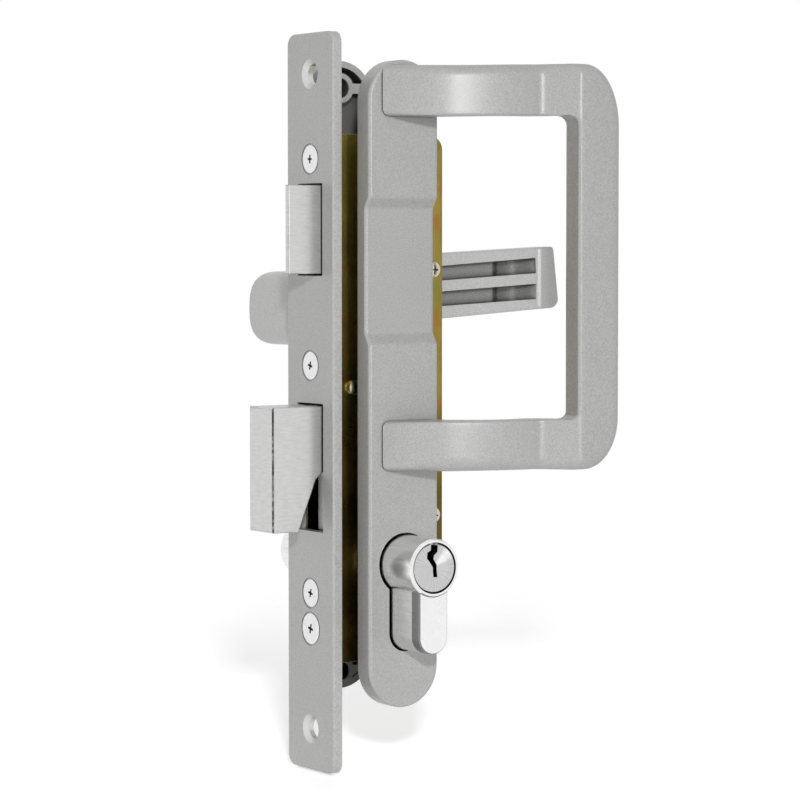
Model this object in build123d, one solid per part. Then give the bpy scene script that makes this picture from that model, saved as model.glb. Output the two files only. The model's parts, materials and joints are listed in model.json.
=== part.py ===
from build123d import *
import math
import os

os.makedirs("parts", exist_ok=True)

# Narrow-stile mortice lock with its furniture: a case behind a long faceplate, a fixed pull handle
# on the outside (-Y), a lever on the inside (+Y) and a profile cylinder through both.
# Millimetres. +X runs into the door from the back of the faceplate, +Z up.
# The origin is the middle of the faceplate's two fixing holes, at the faceplate's back.

# Faceplate
FACE_W, FACE_H, FACE_T = 25.0, 216.0, 3.0
FACE_CORNER = 3.4
FACE_HOLE_Z = 96.0
FACE_HOLE_R, FACE_CSK_R = 3.0, 4.3
FACE_SCREW_Z = (71.3, 11.0, -55.9)
SCREW_R, SCREW_HEAD_R, SCREW_REACH = 2.0, 4.3, 9.0
SEAT_GAP, FACE_CHAMFER = 0.3, 0.35
SCREW_SLOT_W, SCREW_SLOT_DEPTH = 1.0, 1.25

# Axes of the spindle and of the cylinder
BACKSET = 16.9
SPINDLE_Z = 27.0
CYL_Z = -46.6

# Case
CASE_X, CASE_TOP, CASE_BOTTOM = 38.5, 78.5, -76.0
CASE_HALF, CASE_WALL, CASE_CORNER = 8.0, 1.4, 4.0
ROOM = CASE_HALF - CASE_WALL
PILLARS = ((34.6, 39.0), (34.6, -34.0), (7.0, 4.7))
PILLAR_R = 2.3
TAP_X, TAP_HALF, TAP_BACK = 6.4, 2.2, -4.0
COVER_SCREW_R, COVER_HEAD_R, COVER_HEAD_H, COVER_SLOT = 1.5, 2.5, 1.9, 2.8

# Latch bolt and its travel
LATCH_Z0, LATCH_Z1 = 37.9, 63.6
LATCH_HALF, LATCH_TIP, LATCH_NOSE, LATCH_BACK = 6.25, -14.3, 1.6, 6.0
LATCH_SPRING_Z, LATCH_SPRING_STOP, LATCH_SPRING_FOOT = 58.6, 20.0, -3.4
LATCH_SPRING_R, LATCH_WIRE, LATCH_BORE_R = 2.4, 0.8, 3.4
TAIL_TOP, LUG_W = 53.8, 4.0
COIL_TURNS, WIRE_SIDES = 5, 5
GAP = 0.6

# Follower: its arms lean to one side at rest and to the other when the lever is down
LEVER_TURN = 40.0
ARM_R, ARM_TIP_R, ARM_HALF = 16.5, 2.0, 1.4
REST_LEAN = LEVER_TURN / 2
FOLLOWER_R, JOURNAL_R, RUNNING = 8.4, 7.9, 0.08
SPRING_ARM_R, ARM_THICK_HALF = 11.8, 2.5
FOLLOWER_SPRING_R, FOLLOWER_WIRE = 1.9, 0.7
SPINDLE, SPINDLE_START, SPINDLE_END = 8.0, -6.0, 44.0
SQUARE_HALF = SPINDLE / 2 + 0.1

# Deadbolt, with a beak that hangs below its neck
BOLT_Z0, BOLT_Z1 = -37.0, -0.6
BOLT_HALF, BOLT_END, BOLT_THROW = 6.5, -19.9, 17.0
NECK_Z = -19.9
BEAK_ROOT, BEAK_KNEE, BEAK_TOE = -3.1, -5.3, -11.3
TAIL_HALF, TAIL_X, BOLT_CHAMFER = 3.0, 18.0, 0.4
DIMPLE_X, DIMPLE_R, STRIP_T, STRIP_HALF = 14.0, 1.5, 0.5, 2.2

# Profile cylinder, 35 mm each side, and its cam
CYL_HALF, CYL_R, CYL_NECK_R, CYL_DROP = 35.4, 8.5, 5.0, 25.1
CYL_STEP, CYL_CHAMFER, DISH_R, DISH_DEPTH = 0.5, 0.4, 4.7, 0.8
PLUG_GAP, FLANGE_T = 0.4, 2.0
PLUG_R, PLUG_FLANGE_R, PLUG_SEAM, CAM_HALF = 6.5, 7.2, 0.25, 4.8
CAM_REACH, CAM_TIP_R, CAM_ARM_HALF, CAM_R = 11.5, 3.5, 3.1, 7.4
CAM_LEAN = math.degrees(math.asin(BOLT_THROW / 2 / CAM_REACH))
CYL_SCREW_Z, CYL_SCREW_R, CYL_SCREW_HEAD_R = CYL_Z - 19.8, 2.4, 4.8

# Plates on both faces of the door
DOOR_HALF, PLATE_T, PLATE_SKIN = 14.0, 6.3, 1.9
PLATE_X, PLATE_R, PLATE_TOP, PLATE_BOTTOM = 16.5, 12.0, 99.8, -88.8
PLATE_RIM_R, INSIDE_LIFT = 0.9, 1.5
BAND_Z0, BAND_Z1, BAND_DEPTH, BAND_RAMP, BAND_BEND_R = 20.7, 56.8, 2.2, 3.2, 2.0
BOSS_Z, BOSS_R, BOSS_BORE_R = (93.2, -82.2), 4.4, 2.9

# Pull handle
PULL_TOP, PULL_BOTTOM, PULL_ARM = 98.0, -19.3, 14.6
PULL_LEFT, PULL_ROOT, PULL_RIGHT, GRIP_W = 8.8, 27.6, 76.9, 15.7
GRIP_BACK, GRIP_FRONT, PULL_CORNER, PULL_WEB = -39.5, -46.0, 14.0, 2.4
PULL_FRONT_R, PULL_BACK_R, PULL_INNER_R = 3.6, 2.4, 1.4
PULL_SCREWS = ((22.6, 87.0), (22.6, -11.0))
PULL_SCREW_R, PULL_HEAD_R, PULL_HEAD_H, PULL_SCREW_REACH = 2.0, 3.2, 1.6, 8.0

# Lever
HUB_R, HUB_Y, LEVER_Y = 11.2, 21.5, 51.5
BLADE_BACK, BLADE_X, BLADE_RISE = 42.0, 119.3, 3.4
BLADE_HALF, BLADE_END_HALF, BLADE_PAD = 10.45, 10.0, 0.5
GROOVE_FLOOR, POCKET_FLOOR, GROOVE_LIP, POCKET_X, GROOVE_END = 45.0, 47.8, 95.2, 98.6, 110.6
NECK_R, BUSH_R, CLIP_Y, CLIP_T = 7.4, 8.6, 15.2, 1.0
GRUB_Y, GRUB_R = 29.0, 2.0


def block(x0, x1, y0, y1, z0, z1):
    return Pos((x0 + x1) / 2, (y0 + y1) / 2, (z0 + z1) / 2) * Box(x1 - x0, y1 - y0, z1 - z0)


def prism_x(face, x0, x1):
    return extrude(Plane.YZ.offset(x0) * face, x1 - x0)


def prism_y(face, y0, y1):
    return extrude(Plane.XZ.offset(-y1) * face, y1 - y0)


def prism_z(face, z0, z1):
    return extrude(Plane.XY.offset(z0) * face, z1 - z0)


def square_rod(half, y0, y1):
    """Square bar along the spindle's axis."""
    return block(BACKSET - half, BACKSET + half, y0, y1, SPINDLE_Z - half, SPINDLE_Z + half)


def rod_x(y, z, radius, x0, x1):
    return prism_x(Pos(y, z) * Circle(radius), x0, x1)


def rod_y(x, z, radius, y0, y1):
    return prism_y(Pos(x, z) * Circle(radius), y0, y1)


def cone_x(y, z, r0, r1, x0, x1):
    cone = Cone(r0, r1, x1 - x0, align=(Align.CENTER, Align.CENTER, Align.MIN))
    return Pos(x0, y, z) * Rot(0, 90, 0) * cone


def rectangle(x0, x1, z0, z1):
    return Pos((x0 + x1) / 2, (z0 + z1) / 2) * Rectangle(x1 - x0, z1 - z0)


def outline(*points):
    return make_face(Polyline(*points, close=True))


def rounded(face, *corners):
    """Round corners of a face, each given as a point near it and a radius."""
    for point, radius in corners:
        face = fillet(face.vertices().sort_by_distance((*point, 0))[0], radius)
    return face


def arc_chain(start, heading, *stops):
    """Arcs through the stops, each tangent to the one before."""
    arcs = []
    for stop in stops:
        arcs.append(TangentArc(start, stop, tangent=heading).edge())
        start, heading = arcs[-1] @ 1, arcs[-1] % 1
    return arcs


def edges_through(solid, points):
    """Edges whose middle lies on one of the points."""
    return [edge for edge in solid.edges() if any((edge @ 0.5 - point).length < 0.1 for point in points)]


def lean(x, z, radius, degrees_from_up):
    turn = math.radians(degrees_from_up)
    return x + radius * math.sin(turn), z + radius * math.cos(turn)


def arm_face(x, z, radius, tip_r, half, degrees_from_up):
    """Straight arm with a round tip, from the axis at x, z."""
    turn = math.radians(degrees_from_up)
    across = (half * math.cos(turn), -half * math.sin(turn))
    tip = lean(x, z, radius, degrees_from_up)
    bar = outline(
        (x - across[0], z - across[1]),
        (tip[0] - across[0], tip[1] - across[1]),
        (tip[0] + across[0], tip[1] + across[1]),
        (x + across[0], z + across[1]),
    )
    return bar + Pos(*tip) * Circle(tip_r)


def profile_face(growth=0.0):
    """Outline of the profile cylinder in X-Z, grown for a cut-out."""
    neck = CYL_NECK_R + growth
    drop = CYL_DROP - CYL_NECK_R
    face = Pos(BACKSET, CYL_Z) * Circle(CYL_R + growth)
    face += rectangle(BACKSET - neck, BACKSET + neck, CYL_Z - drop, CYL_Z)
    return face + Pos(BACKSET, CYL_Z - drop) * Circle(neck)


def coil(length, radius, wire):
    """Compression spring along +X from the origin, its turns made of quarter-turn arcs."""
    advance = (length - wire) / (4 * COIL_TURNS)
    arcs = []
    for step in range(4 * COIL_TURNS):
        turn, after = step * math.pi / 2, (step + 1) * math.pi / 2
        start = (wire / 2 + step * advance, radius * math.cos(turn), radius * math.sin(turn))
        finish = (wire / 2 + (step + 1) * advance, radius * math.cos(after), radius * math.sin(after))
        heading = (advance / (2 * radius), -math.sin(turn), math.cos(turn))
        arcs.append(TangentArc(start, finish, tangent=heading))
    path = Wire([arc.edge() for arc in arcs])
    section = Plane(origin=path @ 0, z_dir=path % 0) * RegularPolygon(wire / 2, WIRE_SIDES)
    return sweep(section, path=path)


def csk_screw_x(z, radius, head_r, reach, x_front):
    """Countersunk cross-head screw driven along +X through the faceplate."""
    depth = head_r - radius
    screw = cone_x(0, z, head_r, radius, x_front, x_front + depth)
    screw += rod_x(0, z, radius, x_front, x_front + reach)
    for turn in (0, 90):
        slot = Rot(turn, 0, 0) * Box(2 * SCREW_SLOT_DEPTH, SCREW_SLOT_W, head_r * 1.15)
        screw -= Pos(x_front, 0, z) * slot
    return screw


def faceplate():
    plate = prism_x(RectangleRounded(FACE_W, FACE_H, FACE_CORNER), -FACE_T, 0)
    plate = chamfer(plate.faces().sort_by(Axis.X)[0].edges(), FACE_CHAMFER)
    plate -= block(-FACE_T, 0, -6.65, 6.65, LATCH_Z0 - GAP, LATCH_Z1 + GAP)
    plate -= block(-FACE_T, 0, -7.0, 7.0, BOLT_Z0 - GAP, BOLT_Z1 + GAP)
    for z in (FACE_HOLE_Z, -FACE_HOLE_Z):
        plate -= rod_x(0, z, FACE_HOLE_R, -FACE_T, 0)
        plate -= cone_x(0, z, FACE_CSK_R, FACE_HOLE_R, -FACE_T, -FACE_T + FACE_CSK_R - FACE_HOLE_R)
    seats = [(z, SCREW_R, SCREW_HEAD_R) for z in FACE_SCREW_Z]
    seats.append((CYL_SCREW_Z, CYL_SCREW_R, CYL_SCREW_HEAD_R))
    for z, radius, head_r in seats:
        plate -= rod_x(0, z, radius, -FACE_T, 0)
        plate -= cone_x(0, z, head_r, radius, -FACE_T, -FACE_T + head_r - radius)
        plate -= rod_x(0, z, head_r + SEAT_GAP, -FACE_T, -FACE_T + SEAT_GAP)
    return plate


def faceplate_screws():
    return [csk_screw_x(z, SCREW_R, SCREW_HEAD_R, SCREW_REACH, -FACE_T) for z in FACE_SCREW_Z]


def cylinder_fixing_screw():
    return csk_screw_x(CYL_SCREW_Z, CYL_SCREW_R, CYL_SCREW_HEAD_R, BACKSET + FACE_T + 3.0, -FACE_T)


def case_outline():
    middle = (CASE_TOP + CASE_BOTTOM) / 2
    tall = CASE_TOP - CASE_BOTTOM
    face = Pos(CASE_X / 2, middle) * RectangleRounded(CASE_X, tall, CASE_CORNER)
    return face + rectangle(0, CASE_X / 2, CASE_BOTTOM, CASE_TOP)


def side_holes(solid):
    """Holes that both side plates of the case share: spindle follower and cylinder."""
    solid -= rod_y(BACKSET, SPINDLE_Z, JOURNAL_R + RUNNING, -CASE_HALF, CASE_HALF)
    return solid - prism_y(profile_face(0.4), -CASE_HALF, CASE_HALF)


def case_body():
    """Pressed tray: one side plate, four walls, the tapped blocks and the latch spring's tab."""
    body = prism_y(case_outline(), -ROOM, CASE_HALF)
    body -= block(CASE_WALL, CASE_X - CASE_WALL, -ROOM, ROOM, CASE_BOTTOM + CASE_WALL, CASE_TOP - CASE_WALL)
    for z in FACE_SCREW_Z:
        body += block(CASE_WALL, TAP_X, TAP_BACK, ROOM, z - TAP_HALF, z + TAP_HALF)
        body -= rod_x(0, z, SCREW_R, 0, SCREW_REACH - FACE_T)
    stop, z = LATCH_SPRING_STOP, LATCH_SPRING_Z
    tab = block(stop, stop + 2, TAP_BACK, ROOM, z - 4, z + 4)
    body += tab + rod_x(0, z, 1.8, stop - 4, stop)
    body -= block(0, CASE_WALL, -ROOM, ROOM, LATCH_Z0 - GAP, LATCH_Z1 + GAP)
    body -= block(0, CASE_WALL, -ROOM, ROOM, BOLT_Z0 - GAP, BOLT_Z1 + GAP)
    body -= rod_x(0, CYL_SCREW_Z, 2.7, 0, CASE_WALL)
    return side_holes(body)


def case_cover():
    cover = prism_y(case_outline(), -CASE_HALF, -ROOM)
    for x, z in PILLARS:
        cover -= rod_y(x, z, COVER_SCREW_R + 0.1, -CASE_HALF, -ROOM)
    return side_holes(cover)


def case_pillars():
    pillars = []
    for x, z in PILLARS:
        pillar = rod_y(x, z, PILLAR_R, -ROOM, ROOM)
        pillars.append(pillar - rod_y(x, z, COVER_SCREW_R, -ROOM, -1.0))
    return pillars


def cover_screws():
    screws = []
    for x, z in PILLARS:
        head = rod_y(x, z, COVER_HEAD_R, -CASE_HALF - COVER_HEAD_H, -CASE_HALF)
        head = chamfer(head.faces().sort_by(Axis.Y)[0].edges(), 0.6)
        for turn in (0, 90):
            head -= Pos(x, -CASE_HALF - COVER_HEAD_H, z) * Rot(0, turn, 0) * Box(COVER_SLOT, 1.8, 0.7)
        screws.append(head + rod_y(x, z, COVER_SCREW_R, -CASE_HALF, -1.5))
    return screws


def latch_bolt():
    """Head bevelled on the inside face, tail bar with a lug that the follower's arm draws back."""
    head = prism_z(
        outline(
            (LATCH_BACK, -LATCH_HALF),
            (LATCH_TIP, -LATCH_HALF),
            (LATCH_TIP, -LATCH_HALF + LATCH_NOSE),
            (-FACE_T, LATCH_HALF),
            (LATCH_BACK, LATCH_HALF),
        ),
        LATCH_Z0,
        LATCH_Z1,
    )
    head = fillet(head.edges().filter_by(Axis.Z).sort_by(Axis.X)[0:2], 0.5)
    head -= rod_x(0, LATCH_SPRING_Z, LATCH_BORE_R, LATCH_SPRING_FOOT, LATCH_BACK)
    tip_x, tip_z = lean(BACKSET, SPINDLE_Z, ARM_R, -REST_LEAN)
    lug_x = tip_x + ARM_TIP_R + 0.15
    half, end, bar_z = ARM_THICK_HALF, lug_x + LUG_W, SPINDLE_Z + ARM_R + ARM_TIP_R + 0.5
    bar = block(LATCH_BACK, end, -half, half, bar_z, TAIL_TOP)
    lug = block(lug_x, end, -half, half, tip_z - 0.7, TAIL_TOP)
    return head + bar + lug


def latch_spring():
    spring = coil(LATCH_SPRING_STOP - LATCH_SPRING_FOOT, LATCH_SPRING_R, LATCH_WIRE)
    return Pos(LATCH_SPRING_FOOT, 0, LATCH_SPRING_Z) * spring


def follower():
    """Hub with a square hole; the upper arm draws the latch, the lower one bears on its spring."""
    hub = rod_y(BACKSET, SPINDLE_Z, FOLLOWER_R, -ROOM + 0.2, ROOM - 0.2)
    hub += rod_y(BACKSET, SPINDLE_Z, JOURNAL_R, -CASE_HALF, CASE_HALF)
    upper = arm_face(BACKSET, SPINDLE_Z, ARM_R, ARM_TIP_R, ARM_HALF, -REST_LEAN)
    lower = arm_face(BACKSET, SPINDLE_Z, SPRING_ARM_R, ARM_TIP_R, ARM_HALF, 180 - REST_LEAN)
    for arm in (upper, lower):
        hub += prism_y(arm, -ARM_THICK_HALF, ARM_THICK_HALF)
    return hub - square_rod(SQUARE_HALF, -CASE_HALF, CASE_HALF)


def follower_spring():
    tip_x, tip_z = lean(BACKSET, SPINDLE_Z, SPRING_ARM_R, 180 - REST_LEAN)
    length = tip_x - ARM_TIP_R - CASE_WALL - 0.1
    return Pos(CASE_WALL, 0, tip_z) * coil(length, FOLLOWER_SPRING_R, FOLLOWER_WIRE)


def spindle():
    bar = square_rod(SPINDLE / 2, SPINDLE_START, SPINDLE_END)
    return chamfer(bar.faces().sort_by(Axis.Y)[0].edges(), 0.6)


def deadbolt():
    """Neck and hanging beak at full thickness, and a thinner tail with the notch the cam works in."""
    beak = outline(
        (BOLT_END, BOLT_Z1),
        (8, BOLT_Z1),
        (8, NECK_Z),
        (BEAK_ROOT, NECK_Z),
        (BEAK_KNEE, NECK_Z - 2.1),
        (BEAK_TOE, BOLT_Z0),
        (BOLT_END, BOLT_Z0),
    )
    head = prism_y(beak, -BOLT_HALF, BOLT_HALF)
    head = chamfer(head.faces().sort_by(Axis.X)[0].edges(), BOLT_CHAMFER)
    notch_x = BACKSET - BOLT_THROW / 2
    notch_half = CAM_TIP_R + 0.55
    roof = CYL_Z + CAM_REACH + CAM_TIP_R + 0.25
    foot = CYL_Z + 9.0
    tail = outline(
        (CASE_WALL + 0.3, BOLT_Z1),
        (TAIL_X, BOLT_Z1),
        (TAIL_X, NECK_Z - 4),
        (notch_x + notch_half + 2.8, NECK_Z - 7),
        (notch_x + notch_half + 2.8, foot),
        (notch_x + notch_half, foot),
        (notch_x + notch_half, roof),
        (notch_x - notch_half, roof),
        (notch_x - notch_half, foot),
        (CASE_WALL + 0.3, foot),
    )
    bolt = head + prism_y(tail, -TAIL_HALF, TAIL_HALF)
    for x in (DIMPLE_X, DIMPLE_X - BOLT_THROW):
        bolt -= rod_y(x, BOLT_Z1 + 0.5, DIMPLE_R, -TAIL_HALF, TAIL_HALF)
    return bolt


def bolt_detent_spring():
    """Bent strip that clicks into two dimples in the top of the deadbolt."""
    top = BOLT_Z1
    slope = ((36.6, top + 5.5), (20.0, top + 3.4), (15.6, top + 1.6))
    nose = ((DIMPLE_X, top + 0.2), (11.8, top + 2.2))
    strip = make_face(offset(Polyline(*slope, *nose), STRIP_T / 2, kind=Kind.INTERSECTION))
    return prism_y(strip, -STRIP_HALF, STRIP_HALF)


def cylinder_body():
    """Profile housing, its round ends a step proud, with the plug bores and a gap for the cam."""
    end = CYL_HALF - CYL_STEP
    body = prism_y(profile_face(), -end, end)
    body = chamfer(body.faces().filter_by(Axis.Y).edges(), CYL_CHAMFER)
    barrel = rod_y(BACKSET, CYL_Z, CYL_R, -CYL_HALF, CYL_HALF)
    body += chamfer(barrel.faces().filter_by(Axis.Y).edges(), CYL_CHAMFER)
    gap = CAM_HALF + PLUG_GAP
    body -= block(BACKSET - 9, BACKSET + 9, -gap, gap, CYL_Z - 14, CYL_Z + 9)
    body -= rod_y(BACKSET, CYL_Z, PLUG_R + 0.1, -CYL_HALF, CYL_HALF)
    seat = CYL_HALF - FLANGE_T - 0.1
    for y0, y1 in ((-CYL_HALF, -seat), (seat, CYL_HALF)):
        body -= rod_y(BACKSET, CYL_Z, PLUG_FLANGE_R + PLUG_SEAM, y0, y1)
    return body - rod_x(0, CYL_SCREW_Z, 2.5, BACKSET - 6, BACKSET + 6)


def keyway_face():
    """Stepped slot for the key, in X-Z about the plug's centre."""
    return outline((-1.2, 8.0), (1.3, 8.0), (0.9, 4.6), (-0.1, 3.6), (-0.1, 2.6), (1.2, 0.9), (1.2, -2.7),
                   (-0.1, -2.7), (-0.1, 0.2), (-1.5, 1.9), (-2.6, 2.9), (-2.6, 4.6), (-1.4, 5.2))


def key_dish(y_face, into):
    """Shallow cone that guides the key, cut from the plug's face at y_face towards into."""
    cone = Cone(DISH_R, 1.0, DISH_DEPTH, align=(Align.CENTER, Align.CENTER, Align.MIN))
    return Pos(BACKSET, y_face, CYL_Z) * Rot(-90 * into, 0, 0) * cone


def outside_plug():
    plug = rod_y(BACKSET, CYL_Z, PLUG_R, -CYL_HALF, -CAM_HALF - PLUG_GAP)
    plug += rod_y(BACKSET, CYL_Z, PLUG_FLANGE_R, -CYL_HALF, -CYL_HALF + FLANGE_T)
    plug = chamfer(plug.faces().sort_by(Axis.Y)[0].edges(), CYL_CHAMFER)
    plug += block(BACKSET - 1.5, BACKSET + 1.5, -CAM_HALF - PLUG_GAP, -1.0, CYL_Z - 4, CYL_Z + 4)
    plug -= key_dish(-CYL_HALF, 1)
    return plug - prism_y(Pos(BACKSET, CYL_Z) * keyway_face(), -CYL_HALF, -CAM_HALF - 3)


def inside_plug():
    plug = rod_y(BACKSET, CYL_Z, PLUG_R, CAM_HALF + PLUG_GAP, CYL_HALF)
    plug += rod_y(BACKSET, CYL_Z, PLUG_FLANGE_R, CYL_HALF - FLANGE_T, CYL_HALF)
    plug = chamfer(plug.faces().sort_by(Axis.Y)[-1].edges(), CYL_CHAMFER)
    plug -= key_dish(CYL_HALF, -1)
    return plug - prism_y(Pos(BACKSET, CYL_Z) * keyway_face(), CAM_HALF + 3, CYL_HALF)


def cylinder_cam():
    face = Pos(BACKSET, CYL_Z) * Circle(CAM_R)
    face += arm_face(BACKSET, CYL_Z, CAM_REACH, CAM_TIP_R, CAM_ARM_HALF, -CAM_LEAN)
    cam = prism_y(face, -CAM_HALF, CAM_HALF)
    return cam - block(BACKSET - 1.6, BACKSET + 1.6, -CAM_HALF, -0.8, CYL_Z - 4.1, CYL_Z + 4.1)


def plate_face(inset, lift):
    """Outline of a plate in X-Z: straight sides and round ends."""
    middle = (PLATE_TOP + PLATE_BOTTOM) / 2 + lift
    length = PLATE_TOP - PLATE_BOTTOM - 2 * inset
    return Pos(PLATE_X, middle) * Rot(0, 0, 90) * SlotOverall(length, 2 * (PLATE_R - inset))


def plate_profile():
    """Section of the solid plate in Y-Z, past both ends, with the recessed band and its soft ramps."""
    top, bottom = PLATE_TOP + 5, PLATE_BOTTOM - 5
    ramps = [
        (-PLATE_T, BAND_Z1 + BAND_RAMP),
        (-PLATE_T + BAND_DEPTH, BAND_Z1),
        (-PLATE_T + BAND_DEPTH, BAND_Z0),
        (-PLATE_T, BAND_Z0 - BAND_RAMP),
    ]
    face = outline((0, bottom), (0, top), (-PLATE_T, top), *ramps, (-PLATE_T, bottom))
    return rounded(face, *[(point, BAND_BEND_R) for point in ramps])


def plate_rim(solid):
    """Edges round the plate's face, which dips with the band."""
    lowest = -PLATE_T + BAND_DEPTH + 0.05
    raised = [edge for edge in solid.edges() if all((edge @ t).Y < lowest for t in (0, 0.5, 1))]
    straight = [edge for edge in raised if abs((edge @ 0).X - (edge @ 1).X) < 0.01]
    return straight + [edge for edge in raised if edge.geom_type == GeomType.CIRCLE]


def plate_shell(lift=0.0):
    """Hollow die-cast plate with its back at y = 0 and its face at y = -PLATE_T."""
    left, right = PLATE_X - PLATE_R, PLATE_X + PLATE_R
    shell = prism_x(plate_profile(), left - 1, right + 1) & prism_y(plate_face(0, lift), -PLATE_T, 0)
    shell = fillet(plate_rim(shell), PLATE_RIM_R)
    hollow = plate_face(PLATE_SKIN, lift)
    shell -= prism_y(hollow, -PLATE_T + BAND_DEPTH + 1.5, 0)
    for z0, z1 in ((PLATE_BOTTOM, BAND_Z0 - BAND_RAMP), (BAND_Z1 + BAND_RAMP, PLATE_TOP + lift)):
        shell -= prism_y(hollow & rectangle(left, right, z0, z1), -PLATE_T + 2.0, 0)
    for z in BOSS_Z:
        shell += rod_y(BACKSET, z, BOSS_R, -PLATE_T + 1, 0)
        shell += prism_y(plate_face(1.0, lift) & rectangle(left, right, z - 1.5, z + 1.5), -PLATE_T + 1, -0.4)
        shell -= rod_y(BACKSET, z, BOSS_BORE_R, -PLATE_T + 2, 0)
    shell += prism_y(profile_face(2.2) & plate_face(PLATE_RIM_R, lift), -PLATE_T + 1, 0)
    return shell - prism_y(profile_face(0.6), -PLATE_T, 0)


def outside_plate():
    plate = Pos(0, -DOOR_HALF, 0) * plate_shell()
    for x, z in PULL_SCREWS:
        plate -= rod_y(x, z, PULL_SCREW_R + 0.1, -DOOR_HALF - PLATE_T, -DOOR_HALF)
    return plate


def inside_plate():
    plate = mirror(plate_shell(INSIDE_LIFT), about=Plane.XZ).translate((0, DOOR_HALF, 0))
    pad_y = DOOR_HALF + PLATE_T - BAND_DEPTH - 1.5
    plate += rod_y(BACKSET, SPINDLE_Z, PLATE_R - 0.6, pad_y, DOOR_HALF + PLATE_T)
    return plate - rod_y(BACKSET, SPINDLE_Z, BUSH_R + 0.1, DOOR_HALF, DOOR_HALF + PLATE_T)


def handle_screws():
    screws = []
    head_y = -DOOR_HALF - PLATE_T + 2.0
    for x, z in PULL_SCREWS:
        head = rod_y(x, z, PULL_HEAD_R, head_y, head_y + PULL_HEAD_H)
        screws.append(head + rod_y(x, z, PULL_SCREW_R, -DOOR_HALF - PLATE_T - PULL_SCREW_REACH, head_y))
    return screws


def pull_rim(arcs, y):
    """Middle points of a rim that follows the arcs, both corners and the grip's right side."""
    cut = PULL_CORNER * (1 - math.cos(math.pi / 4))
    points = [Vector(PULL_RIGHT, y, (PULL_TOP + PULL_BOTTOM) / 2)]
    for z, corner_z in ((PULL_TOP, PULL_TOP - cut), (PULL_BOTTOM, PULL_BOTTOM + cut)):
        points.append(Vector(PULL_RIGHT - cut, y, corner_z))
        points += [Vector((arc @ 0.5).X, (arc @ 0.5).Y, z) for arc in arcs]
    return points


def pull_inner_edges(solid, root_y):
    """Edges of the window that the hand goes through, without its four short corner seams."""
    low, high = PULL_BOTTOM + PULL_ARM - 0.1, PULL_TOP - PULL_ARM + 0.1
    edges = []
    for edge in solid.edges():
        middle, across = edge @ 0.5, (edge @ 1) - (edge @ 0)
        seam = abs(across.X) < 0.05 and abs(across.Z) < 0.05
        inside = low < middle.Z < high and middle.X < PULL_RIGHT - GRIP_W + 0.1
        if inside and not seam and abs(middle.Y - root_y) > 0.05:
            edges.append(edge)
    return edges


def pull_handle():
    """Cast pull: its plan outline crossed with its front outline, then rounded all round."""
    root_y = -DOOR_HALF - PLATE_T
    shoulder = PULL_RIGHT - PULL_CORNER
    front_start, back_start = (shoulder, GRIP_FRONT), (shoulder, GRIP_BACK)
    front_stops = ((59.7, -44.7), (53.7, -38.6), (50.9, -37.9), (25.5, -33.7), (PULL_LEFT, root_y))
    back_stops = ((59.3, -36.4), (55.5, -32.0), (48.0, -30.4), (37.0, -29.0), (PULL_ROOT, root_y))
    front = arc_chain(front_start, (-1, 0), *front_stops)
    back = arc_chain(back_start, (-1, 0), *back_stops)
    nose = Polyline(front_start, (PULL_RIGHT, GRIP_FRONT), (PULL_RIGHT, GRIP_BACK), back_start)
    root = Line(front[-1] @ 1, back[-1] @ 1)
    plan = make_face(front + back + nose.edges() + [root.edge()])
    middle, tall = (PULL_TOP + PULL_BOTTOM) / 2, PULL_TOP - PULL_BOTTOM
    ring = Pos((PULL_RIGHT - 30) / 2, middle) * RectangleRounded(PULL_RIGHT + 30, tall, PULL_CORNER)
    inner = PULL_RIGHT - GRIP_W
    ring -= Pos(inner / 2 - 20, middle) * RectangleRounded(inner + 40, tall - 2 * PULL_ARM, PULL_WEB)
    body = prism_z(plan, PULL_BOTTOM, PULL_TOP) & prism_y(ring, GRIP_FRONT - 1, root_y)
    body = fillet(edges_through(body, pull_rim(front, GRIP_FRONT)), PULL_FRONT_R)
    body = fillet(edges_through(body, pull_rim(back, GRIP_BACK)), PULL_BACK_R)
    body = fillet(pull_inner_edges(body, root_y), PULL_INNER_R)
    return body - [rod_y(x, z, PULL_SCREW_R, root_y - PULL_SCREW_REACH, root_y) for x, z in PULL_SCREWS]


def blade_point(x, offset):
    """Point on the blade's rising centre line, moved across it."""
    turn = math.radians(BLADE_RISE)
    run = x - 76.0
    return x - offset * math.sin(turn), 33.6 + run * math.tan(turn) + offset * math.cos(turn)


def blade_edges(solid, y0, y1):
    """Edges round the blade between y0 and y1, without those that cross it."""
    level = [edge for edge in solid.edges() if all(y0 < (edge @ t).Y < y1 for t in (0, 0.5, 1))]
    return [edge for edge in level if abs((edge @ 0).X - (edge @ 1).X) > 0.01 or (edge @ 0.5).X > BLADE_X - 2]


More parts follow.
